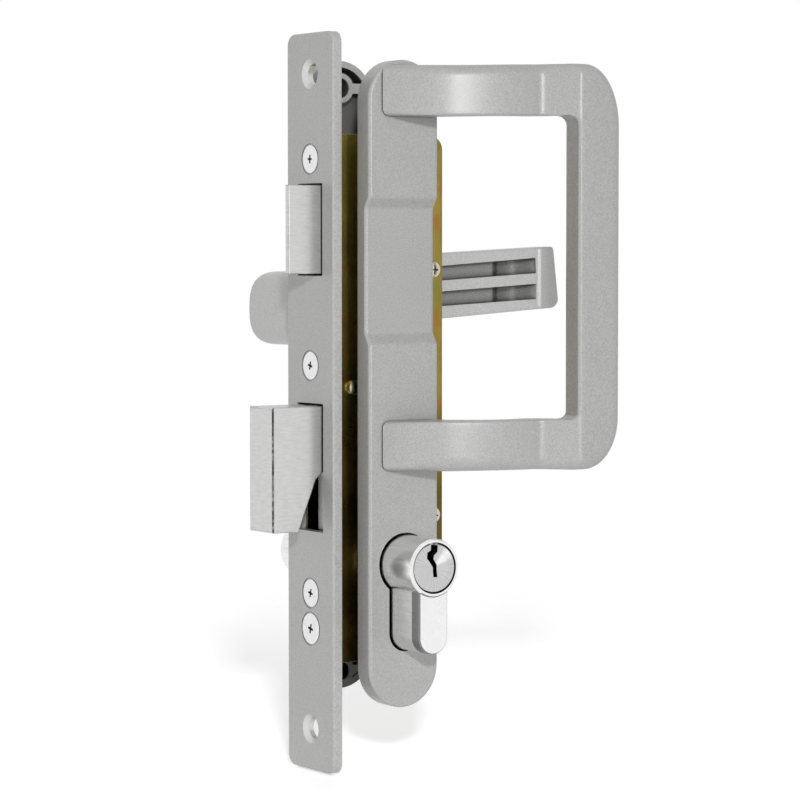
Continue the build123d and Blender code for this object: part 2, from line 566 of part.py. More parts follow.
def lever_blade():
    """Tapered flat blade whose end block stands a little proud at the back."""
    hub_top = (BACKSET + 2, SPINDLE_Z + HUB_R - 0.4)
    hub_foot = (BACKSET + 2, SPINDLE_Z - HUB_R + 0.4)
    top_bend, foot_bend = blade_point(70, BLADE_HALF), blade_point(70, -BLADE_HALF)
    top_end, foot_end = blade_point(BLADE_X - 1.2, BLADE_END_HALF), blade_point(BLADE_X, -BLADE_END_HALF)
    top_way = (top_bend[0] - top_end[0], top_bend[1] - top_end[1])
    foot_way = (foot_bend[0] - foot_end[0], foot_bend[1] - foot_end[1])
    arcs = [
        TangentArc(top_bend, hub_top, tangent=top_way).edge(),
        TangentArc(foot_bend, hub_foot, tangent=foot_way).edge(),
    ]
    sides = Polyline(hub_top, hub_foot).edges() + Polyline(top_bend, top_end, foot_end, foot_bend).edges()
    front = rounded(make_face(arcs + sides), (top_end, 1.2), (foot_end, 3.0))
    pad_x, pad_y = BLADE_X - 8.3, BLADE_BACK - BLADE_PAD
    plan = outline(
        (BACKSET, BLADE_BACK),
        (pad_x, BLADE_BACK),
        (pad_x + 1.2, pad_y),
        (BLADE_X + 5, pad_y),
        (BLADE_X + 5, LEVER_Y),
        (BACKSET, LEVER_Y),
    )
    plan = rounded(plan, ((pad_x, BLADE_BACK), 1.5), ((pad_x + 1.2, pad_y), 1.5))
    blade = prism_z(plan, 0, SPINDLE_Z + 30) & prism_y(front, pad_y, LEVER_Y)
    blade = fillet(blade_edges(blade, 0, BLADE_BACK + 0.01), 1.0)
    return fillet(blade_edges(blade, LEVER_Y - 0.01, LEVER_Y + 0.01), 2.2)


def lever_grooves():
    """Two tapered grooves in the back of the blade, each with a deeper pocket that curves back up."""
    rows = []
    for side in (1, -1):
        near, far = 3.95 * side, 4.2 * side
        rows.append(outline(
            blade_point(32, near - 2.2),
            blade_point(GROOVE_END, far - 2.5),
            blade_point(GROOVE_END, far + 2.5),
            blade_point(32, near + 2.2),
        ))
    rise = [
        Line((30, GROOVE_FLOOR), (GROOVE_LIP, GROOVE_FLOOR)).edge(),
        Line((GROOVE_LIP, GROOVE_FLOOR), (POCKET_X, POCKET_FLOOR)).edge(),
        ThreePointArc((POCKET_X, POCKET_FLOOR), (106.0, 46.9), (GROOVE_END, BLADE_BACK)).edge(),
        Line((GROOVE_END, BLADE_BACK), (GROOVE_END, BLADE_BACK - 3)).edge(),
        Line((GROOVE_END, BLADE_BACK - 3), (30, BLADE_BACK - 3)).edge(),
        Line((30, BLADE_BACK - 3), (30, GROOVE_FLOOR)).edge(),
    ]
    depth = rounded(make_face(rise), ((GROOVE_LIP, GROOVE_FLOOR), 2.0))
    floor = prism_z(depth, 0, SPINDLE_Z + 30)
    return [prism_y(row, BLADE_BACK - 3, LEVER_Y - 2) & floor for row in rows]


def inside_lever():
    """Cast lever: round hub, neck in the bush, and the ribbed blade."""
    hub = rod_y(BACKSET, SPINDLE_Z, HUB_R, HUB_Y, LEVER_Y - 0.6)
    hub = fillet(hub.faces().sort_by(Axis.Y)[-1].edges(), 3.0)
    lever = hub + lever_blade() + rod_y(BACKSET, SPINDLE_Z, NECK_R, CLIP_Y - 0.9, HUB_Y)
    for groove in lever_grooves():
        lever -= groove
    lever -= square_rod(SQUARE_HALF, 0, SPINDLE_END + 0.5)
    ring = rod_y(BACKSET, SPINDLE_Z, NECK_R + 1, CLIP_Y, CLIP_Y + CLIP_T + 0.1)
    lever -= ring - rod_y(BACKSET, SPINDLE_Z, NECK_R - 0.8, CLIP_Y, CLIP_Y + CLIP_T + 0.1)
    return lever - Pos(BACKSET, GRUB_Y, SPINDLE_Z - 8) * Cylinder(GRUB_R, 8)


def lever_grub_screw():
    screw = Pos(BACKSET, GRUB_Y, SPINDLE_Z - 6.9) * Cylinder(GRUB_R, 5.6)
    socket = Pos(BACKSET, GRUB_Y, SPINDLE_Z - 9.2) * extrude(RegularPolygon(1.1, 6), 1.4)
    return screw - socket


def lever_bush():
    ring_y = DOOR_HALF + PLATE_T
    bush = rod_y(BACKSET, SPINDLE_Z, BUSH_R, CLIP_Y + 1.3, ring_y)
    bush += rod_y(BACKSET, SPINDLE_Z, BUSH_R + 1.6, ring_y, HUB_Y - 0.2)
    return bush - rod_y(BACKSET, SPINDLE_Z, NECK_R + RUNNING, CLIP_Y, HUB_Y)


def lever_circlip():
    clip = rod_y(BACKSET, SPINDLE_Z, 9.0, CLIP_Y + 0.05, CLIP_Y + 0.05 + CLIP_T)
    clip -= rod_y(BACKSET, SPINDLE_Z, NECK_R - 0.75, CLIP_Y, CLIP_Y + CLIP_T + 0.1)
    return clip - block(BACKSET - 2.2, BACKSET + 2.2, 0, 30, SPINDLE_Z - 12, SPINDLE_Z)


PARTS = (
    faceplate, faceplate_screws, cylinder_fixing_screw, case_body, case_cover, case_pillars, cover_screws,
    latch_bolt, latch_spring, follower, follower_spring, spindle, deadbolt, bolt_detent_spring,
    cylinder_body, outside_plug, inside_plug, cylinder_cam, outside_plate, inside_plate,
    pull_handle, handle_screws, inside_lever, lever_grub_screw, lever_bush, lever_circlip,
)

for maker in PARTS:
    made = maker()
    solids = made if isinstance(made, list) else [made]
    node = Compound(children=[s for piece in solids for s in piece.solids()])
    export_step(node, f"parts/{maker.__name__}.step")
    print(f"{maker.__name__}: {len(node.solids())} solid(s), {node.volume:.0f} mm3")
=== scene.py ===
import bpy
import bmesh
import json
import math
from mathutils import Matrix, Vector


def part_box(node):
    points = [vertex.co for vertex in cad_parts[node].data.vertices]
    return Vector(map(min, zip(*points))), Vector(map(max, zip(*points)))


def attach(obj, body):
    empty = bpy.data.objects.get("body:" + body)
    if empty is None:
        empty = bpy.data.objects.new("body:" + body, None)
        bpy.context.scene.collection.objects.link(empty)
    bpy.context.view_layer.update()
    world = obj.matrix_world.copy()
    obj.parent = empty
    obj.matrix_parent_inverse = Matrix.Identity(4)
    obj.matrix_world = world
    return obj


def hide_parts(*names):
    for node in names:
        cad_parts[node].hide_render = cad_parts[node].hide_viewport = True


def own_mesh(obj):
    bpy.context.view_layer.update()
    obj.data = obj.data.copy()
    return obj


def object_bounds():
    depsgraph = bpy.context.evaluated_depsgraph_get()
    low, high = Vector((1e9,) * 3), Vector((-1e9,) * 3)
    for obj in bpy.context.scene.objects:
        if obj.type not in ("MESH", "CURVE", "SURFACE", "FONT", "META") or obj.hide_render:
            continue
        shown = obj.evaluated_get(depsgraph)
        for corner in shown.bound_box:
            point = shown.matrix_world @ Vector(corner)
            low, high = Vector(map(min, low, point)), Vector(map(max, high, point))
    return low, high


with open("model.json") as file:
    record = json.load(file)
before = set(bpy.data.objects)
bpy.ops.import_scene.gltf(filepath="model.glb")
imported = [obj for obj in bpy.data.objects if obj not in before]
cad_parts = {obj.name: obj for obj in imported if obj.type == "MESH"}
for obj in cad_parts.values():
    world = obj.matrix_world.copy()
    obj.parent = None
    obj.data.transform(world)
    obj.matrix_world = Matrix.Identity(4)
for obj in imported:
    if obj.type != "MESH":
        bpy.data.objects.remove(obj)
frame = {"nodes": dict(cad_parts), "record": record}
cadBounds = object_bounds()
scene = bpy.context.scene
cadNodes = frame["nodes"]
mm = 0.001

# which body each CAD node rides on, and its material slot
bodies = frame["record"]["behaviour"]["bodies"]
bodyOf = {node: body for body, members in bodies.items() for node in members}
slotOf = {s["node"]: s["material_slot"] for s in frame["record"]["subparts"]}


def boxOf(node):
    return [Vector(corner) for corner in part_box(node)]


def newPiece(name, mesh):
    piece = bpy.data.objects.new(name, mesh)
    scene.collection.objects.link(piece)
    return piece


def grey(tone):
    return (tone, tone, tone, 1)


# short ways to add nodes, used in shaders and in Geometry Nodes trees

def feed(tree, inputs, values):
    # a value is a number, a colour or the output that drives the socket
    for label, value in values.items():
        if isinstance(value, bpy.types.NodeSocket):
            tree.links.new(value, inputs[label])
        else:
            inputs[label].default_value = value


def addNode(tree, kind, sockets=None, **settings):
    node = tree.nodes.new(kind)
    for name, value in settings.items():
        setattr(node, name, value)
    feed(tree, node.inputs, sockets or {})
    return node


def calc(tree, operation, *values, clamp=False):
    node = addNode(tree, "ShaderNodeMath", dict(enumerate(values)), operation=operation, use_clamp=clamp)
    return node.outputs[0]


def plus(tree, first, second):
    return calc(tree, "ADD", first, second)


def minus(tree, first, second):
    return calc(tree, "SUBTRACT", first, second)


def times(tree, product, *factors):
    for factor in factors:
        product = calc(tree, "MULTIPLY", product, factor)
    return product


def less(tree, first, second):
    return calc(tree, "LESS_THAN", first, second)


def absolute(tree, value):
    return calc(tree, "ABSOLUTE", value)


def axesOf(tree, place):
    return addNode(tree, "ShaderNodeSeparateXYZ", {0: place}).outputs


# camera, floor and light

cameraSet = {
    "place": (-0.465, -0.732, 0.044),
    "azimuth": 34.0,      # degrees from +Y towards +X
    "lookDown": 2.85,
    "lens": 133.07,
    "sensor": 36.0,
    "reach": 20.0,
}

lightSet = {
    "worldDiffuse": 0.22,
    "aim": (0.03, 0, 0.02),
    "keyPlace": (-0.77, -1.34, 0.45),       # small, for the shadows; metal doesn't mirror it
    "keySize": (0.09, 0.09),
    "keyWatts": 20.0,
    "sheenPlace": (-0.05, -1.5, 0.3),      # tall and narrow, for the long highlights alone
    "sheenSize": (0.14, 0.6),
    "sheenWatts": 2.9,
    "lowPlace": (-0.3, -0.46, -0.06),
    "lowSize": (0.3, 0.1),
    "lowWatts": 0.5,
    "backPlace": (0.8, 1.3, 0.5),
    "backSize": (0.9, 0.9),
    "backWatts": 9.0,
    "mirrored": ("sheen",),
}

floorSet = {
    "colour": (0.9, 0.9, 0.9, 1),
    "roughness": 0.9,
    "shine": 0.1,
    "drop": 0.6 * mm,
    "fade": (0.22, 0.5),   # metres from the object where the floor starts and ends its fade
    "margin": 0.1,
    "glow": 0.5,           # what the camera sees on top of the lit floor
}


def makeCamera():
    data = bpy.data.cameras.new("camera")
    data.lens = cameraSet["lens"]
    data.sensor_width = cameraSet["sensor"]
    data.clip_end = cameraSet["reach"]
    camera = newPiece("camera", data)
    camera.location = cameraSet["place"]
    tilt, turn = 90 - cameraSet["lookDown"], -cameraSet["azimuth"]
    camera.rotation_euler = (math.radians(tilt), 0, math.radians(turn))
    scene.camera = camera


def makeWorld():
    world = bpy.data.worlds.new("studio")
    scene.world = world
    world.use_nodes = True
    tree = world.node_tree
    tree.nodes.clear()
    seen = addNode(tree, "ShaderNodeBackground", {"Color": grey(1)})
    soft = addNode(tree, "ShaderNodeBackground", {"Color": grey(1), "Strength": lightSet["worldDiffuse"]})
    path = tree.nodes.new("ShaderNodeLightPath").outputs
    white = calc(tree, "MAXIMUM", path["Is Camera Ray"], path["Is Glossy Ray"])
    white = calc(tree, "MAXIMUM", white, path["Is Transmission Ray"])
    mix = addNode(tree, "ShaderNodeMixShader", {0: white, 1: soft.outputs[0], 2: seen.outputs[0]})
    addNode(tree, "ShaderNodeOutputWorld", {"Surface": mix.outputs[0]})


def makeLamp(name):
    data = bpy.data.lights.new(name + "Lamp", "AREA")
    data.shape = "RECTANGLE"
    data.size, data.size_y = lightSet[name + "Size"]
    data.energy = lightSet[name + "Watts"]
    lamp = newPiece(name + "Lamp", data)
    lamp.location = lightSet[name + "Place"]
    lamp.visible_glossy = name in lightSet["mirrored"]
    lamp.visible_diffuse = name not in lightSet["mirrored"]
    lamp.rotation_euler = (Vector(lightSet["aim"]) - lamp.location).to_track_quat("-Z", "Y").to_euler()


def newMaterial(name):
    material = bpy.data.materials.new(name)
    material.use_nodes = True
    return material, material.node_tree, material.node_tree.nodes["Principled BSDF"].inputs


def remap(tree, value, low, high, toLow, toHigh, **settings):
    sockets = {"Value": value, "From Min": low, "From Max": high, "To Min": toLow, "To Max": toHigh}
    return addNode(tree, "ShaderNodeMapRange", sockets, **settings).outputs["Result"]


def objectPlace(tree):
    return tree.nodes.new("ShaderNodeTexCoord").outputs["Object"]


def makeFloor():
    low = cadBounds[0].z - floorSet["drop"]
    mesh = bpy.data.meshes.new("floor")
    reach = floorSet["fade"][1] + floorSet["margin"]
    corners = [(-reach, -reach, low), (reach, -reach, low), (reach, reach, low), (-reach, reach, low)]
    mesh.from_pydata(corners, [], [(0, 1, 2, 3)])
    floor = newPiece("floor", mesh)
    material, tree, shader = newMaterial("paleFloor")
    flat = addNode(tree, "ShaderNodeVectorMath", {0: objectPlace(tree), 1: (1, 1, 0)}, operation="MULTIPLY")
    length = addNode(tree, "ShaderNodeVectorMath", {0: flat.outputs[0]}, operation="LENGTH")
    path = tree.nodes.new("ShaderNodeLightPath").outputs
    seen = calc(tree, "MAXIMUM", path["Is Camera Ray"], path["Is Glossy Ray"])
    feed(tree, shader, {
        "Base Color": floorSet["colour"], "Roughness": floorSet["roughness"],
        "Specular IOR Level": floorSet["shine"],
        "Alpha": remap(
            tree, length.outputs["Value"], *floorSet["fade"], 1.0, 0.0, interpolation_type="SMOOTHSTEP"),
        "Emission Color": grey(1), "Emission Strength": times(tree, seen, floorSet["glow"])})
    mesh.materials.append(material)


scene.view_settings.view_transform = "Standard"
makeCamera()
makeWorld()
for lampName in ("key", "sheen", "low", "back"):
    makeLamp(lampName)
makeFloor()
print("stage: camera, light and floor are made")


# shader node groups, built once and used by several finishes

plateSet = {
    "wall": 1.85 * mm,
    "thick": 6.3 * mm,
    "sunk": (0.1, 0.87),        # shares of the depth between which the hollow is bare
    # painted shade: the bare hollow's tone, darkest at the lower height
    "bareShadeTones": (0.012, 0.13),
    "bareShadeHeights": (-0.06, 0.06),
    "shadeBelow": -0.072,       # painted shade on the inside plate's lower end, where it meets the door
    "shadeColour": grey(0.045),
}


def newGroup(name, inputs, outputs):
    # an input's kind follows from its value
    group = bpy.data.node_groups.new(name, "ShaderNodeTree")
    for label, value in inputs.items():
        kind = "Float" if isinstance(value, float) else {3: "Vector", 4: "Color"}[len(value)]
        socket = group.interface.new_socket(label, in_out="INPUT", socket_type="NodeSocket" + kind)
        socket.default_value = value
    for label in outputs:
        kind = "Color" if label == "Colour" else "Float"
        group.interface.new_socket(label, in_out="OUTPUT", socket_type="NodeSocket" + kind)
    return group, group.nodes.new("NodeGroupInput").outputs, group.nodes.new("NodeGroupOutput").inputs


def fromGroup(tree, group, **values):
    return addNode(tree, "ShaderNodeGroup", values, node_tree=group).outputs


def noise(tree, place, scale, detail=2.0, roughness=0.5):
    sockets = {"Vector": place, "Scale": scale, "Detail": detail, "Roughness": roughness}
    return addNode(tree, "ShaderNodeTexNoise", sockets).outputs["Fac"]


def mixColour(tree, share, first, second, blend="MIX"):
    sockets = {0: share, 6: first, 7: second}       # by number, because the names repeat
    return addNode(tree, "ShaderNodeMix", sockets, data_type="RGBA", blend_type=blend).outputs[2]


def greyOf(tree, tone):
    return addNode(tree, "ShaderNodeCombineColor", {"Red": tone, "Green": tone, "Blue": tone}).outputs[0]


def toned(tree, colour, tone):
    return mixColour(tree, 1.0, colour, greyOf(tree, tone), "MULTIPLY")


def faceAxes(tree):
    return axesOf(tree, tree.nodes.new("ShaderNodeNewGeometry").outputs["True Normal"])


noiseSpan = (0.3, 0.7)      # the part of a noise's range that is used
patchSpan = (0.35, 0.65)

flakeSet = {
    "cloudScale": 40.0,
    "cloudDepth": 0.1,
    "peelScale": 620.0,
    "peelShare": 0.8,
    "fineShare": 0.35,
    "roughShare": 0.5,
}

brushSet = {
    "detail": 4.0,
    "harshness": 0.7,
    "smudgeScale": 90.0,
    "smudgeDepth": 0.16,
}

edgeSet = {
    "samples": 4,
    "creaseSamples": 8,
    "turned": (0.995, 0.86),    # cosine between both normals where the edge mask starts and where it is full
    "least": 0.3,
}


def makeFlakeGroup():
    # fine metallic flake: speckle in colour and roughness, orange peel in height
    group, given, made = newGroup(
        "metalFlake", {"Colour": grey(0.5), "Flake": 0.1, "Grain": 2600.0, "Roughness": 0.4},
        ("Colour", "Roughness", "Height"))
    place = objectPlace(group)
    fine = noise(group, place, given["Grain"], detail=1.0)
    speckle = times(group, remap(group, fine, *noiseSpan, -1.0, 1.0), given["Flake"])
    cloud = minus(group, noise(group, place, flakeSet["cloudScale"], detail=3.0), 0.5)
    tone = plus(group, plus(group, speckle, times(group, cloud, flakeSet["cloudDepth"])), 1.0)
    peel = times(group, noise(group, place, flakeSet["peelScale"]), flakeSet["peelShare"])
    feed(group, made, {
        "Colour": toned(group, given["Colour"], tone),
        "Roughness": plus(group, given["Roughness"], times(group, speckle, flakeSet["roughShare"])),
        "Height": plus(group, peel, times(group, fine, flakeSet["fineShare"]))})
    return group


def makeBrushGroup():
    # drawn or brushed metal: long fine scratches along one axis of the piece
    group, given, made = newGroup(
        "brushedLines", {"Stretch": (1, 1, 1), "Depth": 0.1, "Roughness": 0.3},
        ("Tone", "Roughness", "Height"))
    place = objectPlace(group)
    sockets = {0: place, 1: given["Stretch"]}
    stretched = addNode(group, "ShaderNodeVectorMath", sockets, operation="MULTIPLY").outputs[0]
    lines = noise(group, stretched, 1.0, brushSet["detail"], brushSet["harshness"])
    signed = remap(group, lines, *noiseSpan, -1.0, 1.0)
    smudge = minus(group, noise(group, place, brushSet["smudgeScale"], detail=3.0), 0.5)
    smudge = times(group, smudge, brushSet["smudgeDepth"])
    feed(group, made, {
        "Tone": plus(group, 1.0, times(group, signed, given["Depth"])),
        "Roughness": plus(group, given["Roughness"], smudge), "Height": lines})
    return group


def makeEdgeGroup():
    # mask of edges, for wear and for a painted dark reflection: where a bevelled normal leaves the true
    # one, broken up by noise
    group, given, made = newGroup("edgeWear", {"Radius": 0.4 * mm, "Break": 300.0}, ("Mask",))
    bevel = addNode(group, "ShaderNodeBevel", {"Radius": given["Radius"]}, samples=edgeSet["samples"])
    true = group.nodes.new("ShaderNodeNewGeometry").outputs["Normal"]
    dot = addNode(group, "ShaderNodeVectorMath", {0: bevel.outputs[0], 1: true}, operation="DOT_PRODUCT")
    edge = remap(group, dot.outputs["Value"], *edgeSet["turned"], 0.0, 1.0)
    broken = noise(group, objectPlace(group), given["Break"], detail=3.0)
    broken = remap(group, broken, *patchSpan, edgeSet["least"], 1.0)
    feed(group, made, {"Mask": calc(group, "MULTIPLY", edge, broken, clamp=True)})
    return group


def makeCreaseGroup():
    # how much light gets into creases, joints and gaps, as a factor on the colour
    group, given, made = newGroup(
        "creaseShade", {"Reach": 1.0 * mm, "Shut": 0.42, "Open": 0.75, "Darkest": 0.25}, ("Light",))
    sockets = {"Distance": given["Reach"]}
    shade = addNode(group, "ShaderNodeAmbientOcclusion", sockets, samples=edgeSet["creaseSamples"])
    light = remap(group, shade.outputs["AO"], given["Shut"], given["Open"], given["Darkest"], 1.0)
    feed(group, made, {"Light": light})
    return group


def makeHollowGroup():
    # mask of a plate's hollow back: inside its rim, behind its face and ahead of the rib tops
    group, given, made = newGroup(
        "plateHollow",
        {"Middle": (0, 0, 0), "Reach": 80 * mm, "Radius": 10 * mm, "Back": 0.0, "Face": 6 * mm}, ("Mask",))
    apart, middle = axesOf(group, objectPlace(group)), axesOf(group, given["Middle"])
    sideways = minus(group, apart["X"], middle["X"])
    upward = absolute(group, minus(group, apart["Z"], middle["Z"]))
    beyond = calc(group, "MAXIMUM", minus(group, upward, given["Reach"]), 0.0)
    squares = plus(group, times(group, sideways, sideways), times(group, beyond, beyond))
    within = less(group, calc(group, "SQRT", squares), given["Radius"])
    thick = minus(group, given["Face"], given["Back"])
    depth = calc(group, "DIVIDE", minus(group, apart["Y"], given["Back"]), thick)
    sunk = calc(group, "GREATER_THAN", depth, plateSet["sunk"][0])
    covered = less(group, depth, plateSet["sunk"][1])
    facing = times(group, faceAxes(group)["Y"], calc(group, "SIGN", thick))
    behind = less(group, facing, 0.5)       # not the plate's own face
    feed(group, made, {"Mask": times(group, within, sunk, covered, behind)})
    return group


flakeGroup = makeFlakeGroup()
brushGroup = makeBrushGroup()
edgeGroup = makeEdgeGroup()
creaseGroup = makeCreaseGroup()
hollowGroup = makeHollowGroup()


# finishes

def creaseShaded(tree, colour, **values):
    # painted shade: the colour darkens where little light gets into creases, joints and gaps
    return toned(tree, colour, fromGroup(tree, creaseGroup, **values)["Light"])


def edgeWearAndReflection(tree, paint, colour, width, amount):
    # edges take another colour: a lighter one where paint or plating is worn, and a dark one as a painted
    # reflection on nickel
    edges = fromGroup(tree, edgeGroup, Radius=width)["Mask"]
    return mixColour(tree, times(tree, edges, amount), paint, colour)


def lighter(colour, gain):
    return tuple(min(1.0, channel * gain) for channel in colour[:3]) + (1,)


def bumped(tree, height, strength, distance):
    sockets = {"Height": height, "Strength": strength, "Distance": distance}
    return addNode(tree, "ShaderNodeBump", sockets).outputs[0]


paintSet = {
    "flake": 0.14,
    "roughness": 0.36,
    "metallic": 0.45,
    "edgeWidth": 0.35 * mm,
    "edgeWear": 0.5,
    "edgeGain": 1.35,
    "bump": 0.16,
    "bumpDepth": 0.06 * mm,
    "hollowCrease": {"Reach": 10 * mm, "Shut": 0.02, "Open": 0.6, "Darkest": 0.25},
}

seatSet = {
    "height": 96.0 * mm,
    "radius": 4.5 * mm,
    "colour": (0.6, 0.6, 0.59, 1),
    "flat": 0.95,       # faces that look more along X than this keep their paint
}


def bareSeats(tree, paint):
    # the paint stops at the edge of the two fixing holes
    apart = axesOf(tree, objectPlace(tree))
    upward = minus(tree, absolute(tree, apart["Z"]), seatSet["height"])
    squares = plus(tree, times(tree, upward, upward), times(tree, apart["Y"], apart["Y"]))
    near = less(tree, squares, seatSet["radius"] ** 2)
    sunk = less(tree, absolute(tree, faceAxes(tree)["X"]), seatSet["flat"])
    return mixColour(tree, times(tree, near, sunk), paint, seatSet["colour"])


def bareShadedHollow(tree, paint, node):
    # a plate's hollow back is bare casting darkened by painted shade, most low down and in creases, and the
    # inside plate's lower end gets painted shade as well
    low, high = boxOf(node)
    outside = high.y < 0
    radius = (high.x - low.x) / 2
    mask = fromGroup(
        tree, hollowGroup, Middle=(low + high) / 2, Reach=(high.z - low.z) / 2 - radius,
        Radius=radius - plateSet["wall"], Back=high.y if outside else low.y,
        Face=low.y if outside else low.y + plateSet["thick"])["Mask"]
    height = axesOf(tree, objectPlace(tree))["Z"]
    # painted shade: the bare tone runs from near black low down to dark grey up high
    bare = greyOf(tree, remap(tree, height, *plateSet["bareShadeHeights"], *plateSet["bareShadeTones"]))
    paint = mixColour(tree, mask, paint, creaseShaded(tree, bare, **paintSet["hollowCrease"]))
    if outside:
        return paint
    # painted shade on the inside plate's door-facing faces low down
    lowShade = times(tree, less(tree, faceAxes(tree)["Y"], -0.5), less(tree, height, plateSet["shadeBelow"]))
    return mixColour(tree, lowShade, paint, plateSet["shadeColour"])


def paintedFinish(name, colour, hollowOf=None, seats=False, **crease):
    # silver paint with metallic flake, a little brighter where edges are rubbed
    material, tree, shader = newMaterial(name)
    flakes = fromGroup(
        tree, flakeGroup, Colour=colour, Flake=paintSet["flake"], Roughness=paintSet["roughness"])
    lit = lighter(colour, paintSet["edgeGain"])
    paint = edgeWearAndReflection(tree, flakes["Colour"], lit, paintSet["edgeWidth"], paintSet["edgeWear"])
    if hollowOf:
        paint = bareShadedHollow(tree, paint, hollowOf)
    if seats:
        paint = bareSeats(tree, paint)
    feed(tree, shader, {
        "Base Color": creaseShaded(tree, paint, **crease), "Roughness": flakes["Roughness"],
        "Metallic": paintSet["metallic"],
        "Normal": bumped(tree, flakes["Height"], paintSet["bump"], paintSet["bumpDepth"])})
    return material


raySet = {
    "count": 5.0,
    "detail": 3.0,
    "highlightFrom": 0.78,
    "dark": 0.72,
    "plain": 0.66,
}


def rayedColour(tree, node, highlightAt):
    # painted highlight: a turned end face is lighter in rays that spread from its middle, most at the given
    # angle
    low, high = boxOf(node)
    middle = (low + high) / 2
    apart = axesOf(tree, objectPlace(tree))
    angle = calc(tree, "ARCTAN2", minus(tree, apart["Z"], middle.z), minus(tree, apart["X"], middle.x))
    sockets = {"Detail": raySet["detail"], "W": times(tree, angle, raySet["count"])}
    rays = addNode(tree, "ShaderNodeTexNoise", sockets, noise_dimensions="1D").outputs["Fac"]
    streak = remap(tree, rays, *patchSpan, raySet["dark"], 1.0)
    highlightFan = remap(tree, calc(tree, "COSINE", minus(tree, angle, highlightAt)), raySet["highlightFrom"], 1.0, 0.0, 1.0)
    tone = calc(tree, "MAXIMUM", times(tree, streak, raySet["plain"]), times(tree, highlightFan, streak))
    return greyOf(tree, tone)


cylinderSet = {     # metres
    "endColour": grey(0.84),
    "endOn": 0.8,
    "dark": grey(0.05),
    "neckTop": -0.0535,
    "band": (0.0308, 0.0313),
    "bandDepth": 0.75,
    "patchReflectionAt": (0.0293, -0.0467),       # along the barrel, and in height
    "patchReflectionSize": (0.0052, 0.0034),
    "patchReflectionFade": (0.1, 1.0),        # squares of the distance, as shares of its size
    "patchReflectionDepth": 0.7,
    "patchReflectionEnds": {"X": 0.0169, "Y": 0.0},
}


def facedColourWithReflections(tree, colour):
    # ends of the cylinder are faced bright; a band behind them and one patch are darkened as painted
    # reflections
    apart = axesOf(tree, objectPlace(tree))
    along = absolute(tree, apart["Y"])
    low = less(tree, apart["Z"], cylinderSet["neckTop"])
    # painted reflection: a dark band on the neck just behind each end
    band = times(tree, remap(tree, along, *cylinderSet["band"], 0.0, 1.0), low, cylinderSet["bandDepth"])
    colour = mixColour(tree, band, colour, cylinderSet["dark"])
    # painted reflection: a dark patch on the near side of the barrel
    ways = zip((along, apart["Z"]), cylinderSet["patchReflectionAt"], cylinderSet["patchReflectionSize"])
    far, up = [calc(tree, "DIVIDE", minus(tree, place, middle), reach) for place, middle, reach in ways]
    away = plus(tree, times(tree, far, far), times(tree, up, up))
    patchReflection = remap(tree, away, *cylinderSet["patchReflectionFade"], cylinderSet["patchReflectionDepth"], 0.0)
    for axis, limit in cylinderSet["patchReflectionEnds"].items():
        patchReflection = times(tree, patchReflection, less(tree, apart[axis], limit))
    colour = mixColour(tree, patchReflection, colour, cylinderSet["dark"])
    endOn = calc(tree, "GREATER_THAN", absolute(tree, faceAxes(tree)["Y"]), cylinderSet["endOn"])
    return mixColour(tree, endOn, colour, cylinderSet["endColour"])


lineSet = {
    "width": 0.4 * mm,
    "colour": grey(0.05),
    "grain": 900.0,
    "breaks": (0.3, 0.55),
    "least": 0.45,
}


def linedColour(tree, colour, node):
    # painted dark reflection along the upright edge between the end and the outside face of a bolt
    corner = boxOf(node)[0]
    place = objectPlace(tree)
    apart = axesOf(tree, place)
    near = [less(tree, minus(tree, apart["XYZ"[axis]], corner[axis]), lineSet["width"]) for axis in (0, 1)]
    broken = remap(tree, noise(tree, place, lineSet["grain"]), *lineSet["breaks"], lineSet["least"], 1.0)
    return mixColour(tree, times(tree, *near, broken), colour, lineSet["colour"])


platedSet = {
    "reflectionWidth": 0.6 * mm,
    "edgeWidth": 0.3 * mm,
    "edgeWear": 0.3,
    "edgeGain": 1.25,
    "bump": 0.08,
    "bumpDepth": 0.05 * mm,
}


def platedFinish(name, colour, roughness, stretch, depth, darkEdgeReflection=None, facedWithReflections=False, rays=None,
                 lineOn=None):
    # plated or turned metal with fine lines; stretch is how close they lie along each axis; the dark edge
    # colour is a painted reflection, the cylinder's look adds painted dark reflections, and rays are a node
    # and the angle where the painted highlight on its end is brightest
    material, tree, shader = newMaterial(name)
    lines = fromGroup(tree, brushGroup, Stretch=stretch, Depth=depth, Roughness=roughness)
    worn = toned(tree, colour, lines["Tone"])
    if darkEdgeReflection:
        # painted reflection: a dark line along the nickel's edges
        worn = edgeWearAndReflection(tree, worn, darkEdgeReflection, platedSet["reflectionWidth"], 1.0)
    else:
        lit = lighter(colour, platedSet["edgeGain"])
        worn = edgeWearAndReflection(tree, worn, lit, platedSet["edgeWidth"], platedSet["edgeWear"])
    if facedWithReflections:
        # faced ends, with painted dark reflections on the neck and the barrel
        worn = facedColourWithReflections(tree, worn)
    if rays:
        # painted highlight in rays on the plug's turned end
        worn = rayedColour(tree, *rays)
    if lineOn:
        # painted dark reflection along the bolt's upright edge
        worn = linedColour(tree, worn, lineOn)
    feed(tree, shader, {
        "Base Color": creaseShaded(tree, worn), "Roughness": lines["Roughness"], "Metallic": 1.0,
        "Normal": bumped(tree, lines["Height"], platedSet["bump"], platedSet["bumpDepth"])})
    return material


